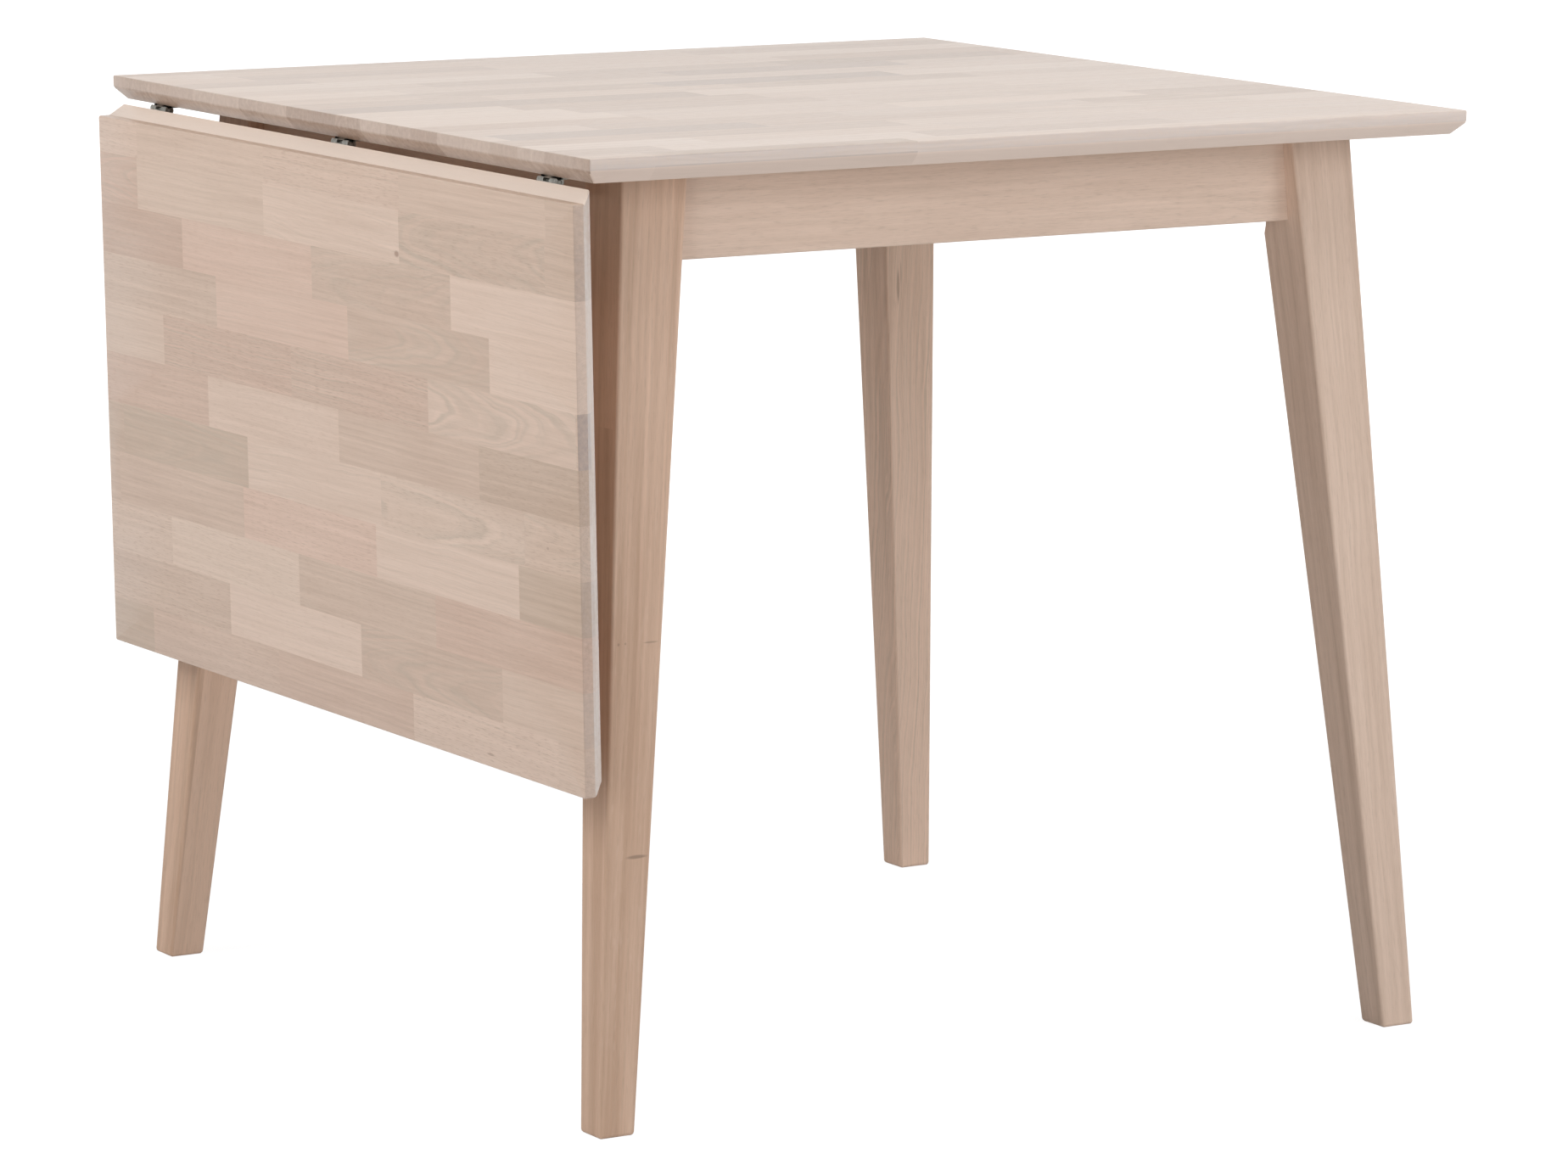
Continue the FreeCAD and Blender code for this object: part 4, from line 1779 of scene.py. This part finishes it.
@dataclass(frozen=True)
class RolledHinge:
    """Small hinge with two drilled wings, rolled knuckles and a pin along Y through the origin."""

    width: float = 0.028
    plate: float = 0.0018
    top: float = 0.00378
    reach: float = 0.038
    corner: float = 0.004
    clearance: float = 0.0004
    knuckle_gap: float = 0.0003
    pin_radius: float = 0.0017
    pin_ease: float = 0.0004
    curl: float = 320.0
    curl_steps: int = 20
    curl_margin: float = 0.0002
    near_screw: float = 0.0137
    far_screw: float = 0.0289
    screw_spread: float = 0.010
    hole_radius: float = 0.0019
    sink_radius: float = 0.0035
    sink_depth: float = 0.0016

    @property
    def root(self) -> float:
        """Distance of the wing's flat from the pin's axis."""
        return self.top + self.clearance

    def wing(self, outer_knuckles: bool) -> Piece:
        """Models the wing on the +X side.

        Args:
            outer_knuckles: Whether the wing carries the two outer knuckles or the middle one.

        Returns:
            The wing.
        """
        middle = Vector(((self.root + self.reach) / 2, 0.0, self.top - self.plate / 2))
        wing = add_block("wing", middle, Vector((self.reach - self.root, self.width, self.plate)))
        near, far = self.width / 6, self.width / 2
        gap = self.knuckle_gap / 2
        with editing(wing):
            tip = both_ends(lambda place: place.x > self.reach - HAIR)
            ease_edges(lambda e: tip(e) and rise(e) > HAIR, self.corner, segments=5)
            for cut in (-near - gap, -near + gap, near - gap, near + gap):
                slice_at(Vector((0.0, cut, 0.0)), unit(1))
            for low, high in ((-far, -near), (near, far)) if outer_knuckles else ((-near, near),):
                self.roll(low + gap, high - gap)
            turn_faces_out()
        for y in (-self.screw_spread, self.screw_spread):
            cut_away(wing, self.sink(self.near_screw, y))
        cut_away(wing, self.sink(self.far_screw, 0.0))
        return wing

    def roll(self, low: float, high: float) -> None:
        """Draws a strip of the wing's root over the pin and rolls it round.

        Args:
            low: Lower end of the strip along Y.
            high: Upper end of the strip along Y.
        """
        low, high = low - self.curl_margin, high + self.curl_margin
        pick("FACE", lambda f: f.normal.x < -SQUARE_ON and low < f.calc_center_median().y < high)
        draw_out(unit(0) * -self.root)
        bpy.ops.mesh.spin(
            steps=self.curl_steps,
            angle=math.radians(-self.curl),
            center=(0.0, 0.0, 0.0),
            axis=(0.0, 1.0, 0.0),
        )

    def sink(self, x: float, y: float) -> Piece:
        """Models the cutter for one countersunk hole, wide at the wing's lower face.

        Args:
            x: The hole's place across the pin.
            y: The hole's place along the pin.

        Returns:
            The cutter.
        """
        low = self.top - self.plate
        cutter = add_round("sink", self.sink_radius, low - self.plate, low)
        with editing(cutter):
            pick("FACE", faces_up)
            push(self.sink_depth)
            narrow(self.hole_radius / self.sink_radius)
            push(self.plate)
        cutter.location = (x, y, 0.0)
        apply_place(cutter)
        return cutter

    def pin(self) -> Piece:
        """Models the pin with eased ends.

        Returns:
            The pin.
        """
        pin = add_round("pin", self.pin_radius, -self.width / 2, self.width / 2)
        with editing(pin):
            ease_edges(lambda e: rise(e) < HAIR, self.pin_ease, segments=2)
        pin.rotation_euler.x = QUARTER_TURN
        apply_place(pin)
        return pin

    def build(self, part: PackedPart, axis: Vector, hang_angle: float, finish: Material) -> None:
        """Sets the three hinges along the hinge line.

        Args:
            part: The CAD nodes.
            axis: A point of the hinge line.
            hang_angle: Degrees that the leaf hangs below level.
            finish: The hinges' material.
        """
        hung = Matrix.Rotation(math.radians(-hang_angle), 4, "Y") @ Matrix.Rotation(math.pi, 4, "Z")
        kinds = (
            ("top_wing", self.wing(True), Matrix.Identity(4)),
            ("leaf_wing", self.wing(False), hung),
            ("pin", self.pin(), Matrix.Identity(4)),
        )
        for kind, model, turn in kinds:
            for place in ("front", "middle", "back"):
                node = f"hinge_{place}_{kind}"
                low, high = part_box(node)
                seat = Matrix.Translation((axis.x, (low.y + high.y) / 2, axis.z))
                piece = copy_at(model, f"{place}_rolled_{kind}", seat @ turn)
                even_shading(piece)
                part.stand_in(piece, node, finish)
            discard(model)


@dataclass
class Ironwork:
    """Hinges, stays, brackets and fasteners."""

    part: PackedPart
    hinge_axis: Vector
    hang_angle: float
    zinc: SteelFinish = SteelFinish("zinc_plate")
    stay: SteelFinish = SteelFinish("stay_plate", (0.36, 0.36, 0.35), (0.20, 0.205, 0.20), 0.42)

    def build(self) -> None:
        """Finishes the steel nodes and sets finer fasteners in their places."""
        finishes = {"zinc_steel": self.zinc.build(), "stay_steel": self.stay.build()}
        for name in self.part.nodes:
            if self.part.slots[name] in finishes:
                self.part.dress(name, finishes[self.part.slots[name]])
        RolledHinge().build(self.part, self.hinge_axis, self.hang_angle, finishes["zinc_steel"])
        self.set_screws_and_bolts(finishes)
        self.set_rivets(finishes)

    def set_screws_and_bolts(self, finishes: dict[str, Material]) -> None:
        """Sets the wood screws and the leg fasteners.

        Args:
            finishes: Materials by slot.
        """
        screw = WoodScrew().model()
        leg = LegFastening()
        bolt, washer, nut = leg.bolt(), leg.washer(), leg.nut()
        for kind in ("hinge_top", "hinge_leaf", "top_bracket", "stay_apron", "stay_leaf"):
            self.set_in(screw, kind + "_cross_screws", kind + "_screws", screw_seat, finishes)
        for model in (bolt, washer, nut):
            self.set_in(model, model.name + "_set", model.name + "s", corner_seat, finishes)
        discard(screw, bolt, washer, nut)

    def set_rivets(self, finishes: dict[str, Material]) -> None:
        """Sets the stays' rivets, each as long as its CAD node.

        Args:
            finishes: Materials by slot.
        """
        for side in ("front", "back"):
            for pivot in ("apron", "knee", "leaf"):
                node = f"stay_{side}_{pivot}_rivet"
                low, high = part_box(node)
                rivet = DomedRivet().model(high.y - low.y)
                self.set_in(rivet, f"{side}_{pivot}_domed_rivet", node, rivet_seat, finishes)
                discard(rivet)

    def set_in(
        self,
        model: Piece,
        name: str,
        node: str,
        seat_of: Callable[[np.ndarray], Matrix],
        finishes: dict[str, Material],
    ) -> None:
        """Sets a copy of a fastener at every solid of a CAD node, as one piece.

        Args:
            model: The fastener at the origin.
            name: The piece's name.
            node: The CAD node's name.
            seat_of: Gives a solid's place from its points.
            finishes: Materials by slot.
        """
        copies = [copy_at(model, name, seat_of(points)) for points in solids(self.part.nodes[node])]
        piece = copies[0]
        select_only(piece)
        for copy in copies:
            copy.select_set(True)
        if len(copies) > 1:
            bpy.ops.object.join()
        piece.name = name
        round_shading(piece)
        self.part.stand_in(piece, node, finishes[self.part.slots[node]])


@dataclass(frozen=True)
class SoftLamp:
    """Square lamp aimed at the table's middle line, left out of gloss."""

    name: str
    place: tuple[float, float, float]
    size: float
    power: float
    aim_height: float = 0.40
    colour: Colour = (1.0, 1.0, 1.0)

    def hang(self) -> None:
        """Adds the lamp to the scene."""
        bpy.ops.object.light_add(type="AREA", location=self.place)
        lamp = bpy.context.object
        lamp.name = self.name
        lamp.data.size = self.size
        lamp.data.energy = self.power
        lamp.data.color = self.colour
        lamp.visible_glossy = False
        aim = Vector((0.0, 0.0, self.aim_height)) - Vector(self.place)
        lamp.rotation_euler = aim.to_track_quat("-Z", "Y").to_euler()


@dataclass
class Studio:
    """White floor, soft light and the camera."""

    picture_width: float = 1848.0
    focal_pixels: float = 7845.835
    camera_place: tuple[float, float, float] = (-2.791741, -4.612169, 1.229934)
    yaw: float = 31.355
    pitch: float = 9.416
    roll: float = 0.229
    sensor: float = 36.0
    view_reach: float = 200.0
    white: Colour = (1.0, 1.0, 1.0)
    floor_size: float = 80.0
    floor_colour: Colour = (0.66, 0.66, 0.66)
    floor_glow: float = 1.20
    glow_share: float = 0.80
    shadow_reach: Span = (0.7, 3.0)
    surround: float = 0.07
    lamps: tuple[SoftLamp, ...] = (
        SoftLamp("overhead_lamp", (0.9, -1.0, 3.2), 2.4, 46.0, aim_height=0.50),
        SoftLamp("right_lamp", (2.6, -2.9, 1.6), 2.0, 36.5),
        SoftLamp("front_lamp", (0.0, -4.0, 1.6), 2.0, 29.0),
        SoftLamp("side_lamp", (-2.5, 0.6, 2.3), 1.8, 47.0, aim_height=0.55, colour=(1.0, 0.965, 0.93)),
        SoftLamp("left_lamp", (-3.8, -2.6, 0.9), 2.0, 40.0, colour=(1.0, 0.965, 0.93)),
        SoftLamp("back_lamp", (3.6, 3.0, 0.4), 0.6, 28.0),
    )

    def camera(self) -> None:
        """Sets the camera at the photograph's place."""
        yaw, pitch, roll = (math.radians(angle) for angle in (self.yaw, self.pitch, self.roll))
        ahead = Vector((
            math.sin(yaw) * math.cos(pitch),
            math.cos(yaw) * math.cos(pitch),
            -math.sin(pitch),
        ))
        level = Vector((math.cos(yaw), -math.sin(yaw), 0.0))
        above = level.cross(ahead)
        right = level * math.cos(roll) + above * math.sin(roll)
        up = above * math.cos(roll) - level * math.sin(roll)
        bpy.ops.object.camera_add()
        camera = bpy.context.object
        camera.matrix_world = Matrix((right, up, -ahead)).transposed().to_4x4()
        camera.location = self.camera_place
        camera.data.sensor_width = self.sensor
        camera.data.lens = self.focal_pixels / self.picture_width * self.sensor
        camera.data.clip_end = self.view_reach
        bpy.context.scene.camera = camera

    def floor(self) -> None:
        """Lays a white floor that keeps the table's shadow."""
        select_only(None)
        bpy.ops.mesh.primitive_plane_add(size=self.floor_size)
        floor = bpy.context.object
        floor.name = "studio_floor"
        sheet = Sheet.named("white_floor")
        x, y, _ = sheet.place()
        away = sheet.ease((x * x + y * y).root(), *self.shadow_reach)
        share = sheet.seen_directly() * (self.glow_share + (1.0 - self.glow_share) * away)
        matt = sheet.node("ShaderNodeBsdfDiffuse", None, {"Color": self.floor_colour})
        glow = sheet.node("ShaderNodeEmission", None, {"Color": self.white, "Strength": self.floor_glow})
        shaders = {0: share, 1: matt.outputs[0], 2: glow.outputs[0]}
        mixed = sheet.node("ShaderNodeMixShader", None, shaders)
        sheet.node("ShaderNodeOutputMaterial", None, {"Surface": mixed.outputs[0]})
        put_on(floor, sheet.owner)

    def light(self) -> None:
        """Hangs soft lamps and a pale surround."""
        world = bpy.data.worlds.new("studio_surround")
        bpy.context.scene.world = world
        sheet = Sheet(world)
        strength = self.surround + sheet.seen_directly() * (1.0 - self.surround)
        around = sheet.node("ShaderNodeBackground", None, {"Color": self.white, "Strength": strength})
        sheet.node("ShaderNodeOutputWorld", None, {"Surface": around.outputs[0]})
        for lamp in self.lamps:
            lamp.hang()

    def build(self) -> None:
        """Sets up the whole studio."""
        self.camera()
        self.floor()
        self.light()
        bpy.context.scene.view_settings.view_transform = "Standard"


def main() -> None:
    """Loads the frame and builds every class in order."""
    logging.basicConfig(level=logging.INFO, format="%(name)s %(message)s")
    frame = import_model()
    fold = next(joint for joint in frame["joints"] if joint["name"] == "leaf_fold")
    slots = {part["node"]: part["material_slot"] for part in frame["record"]["subparts"]}
    axis, hang_angle = Vector(fold["pos_m"]), fold["range_deg"][1]
    part = PackedPart(frame["nodes"], slots)
    tabletop = Tabletop(part, axis, hang_angle)
    tabletop.build_top()
    tabletop.build_leaf()
    top_low, top_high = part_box("top_panel")
    underframe = Underframe(part, (top_low.x + top_high.x) / 2)
    underframe.build_legs()
    underframe.dress()
    Ironwork(part, axis, hang_angle).build()
    Studio().build()


if __name__ == "__main__":
    main()
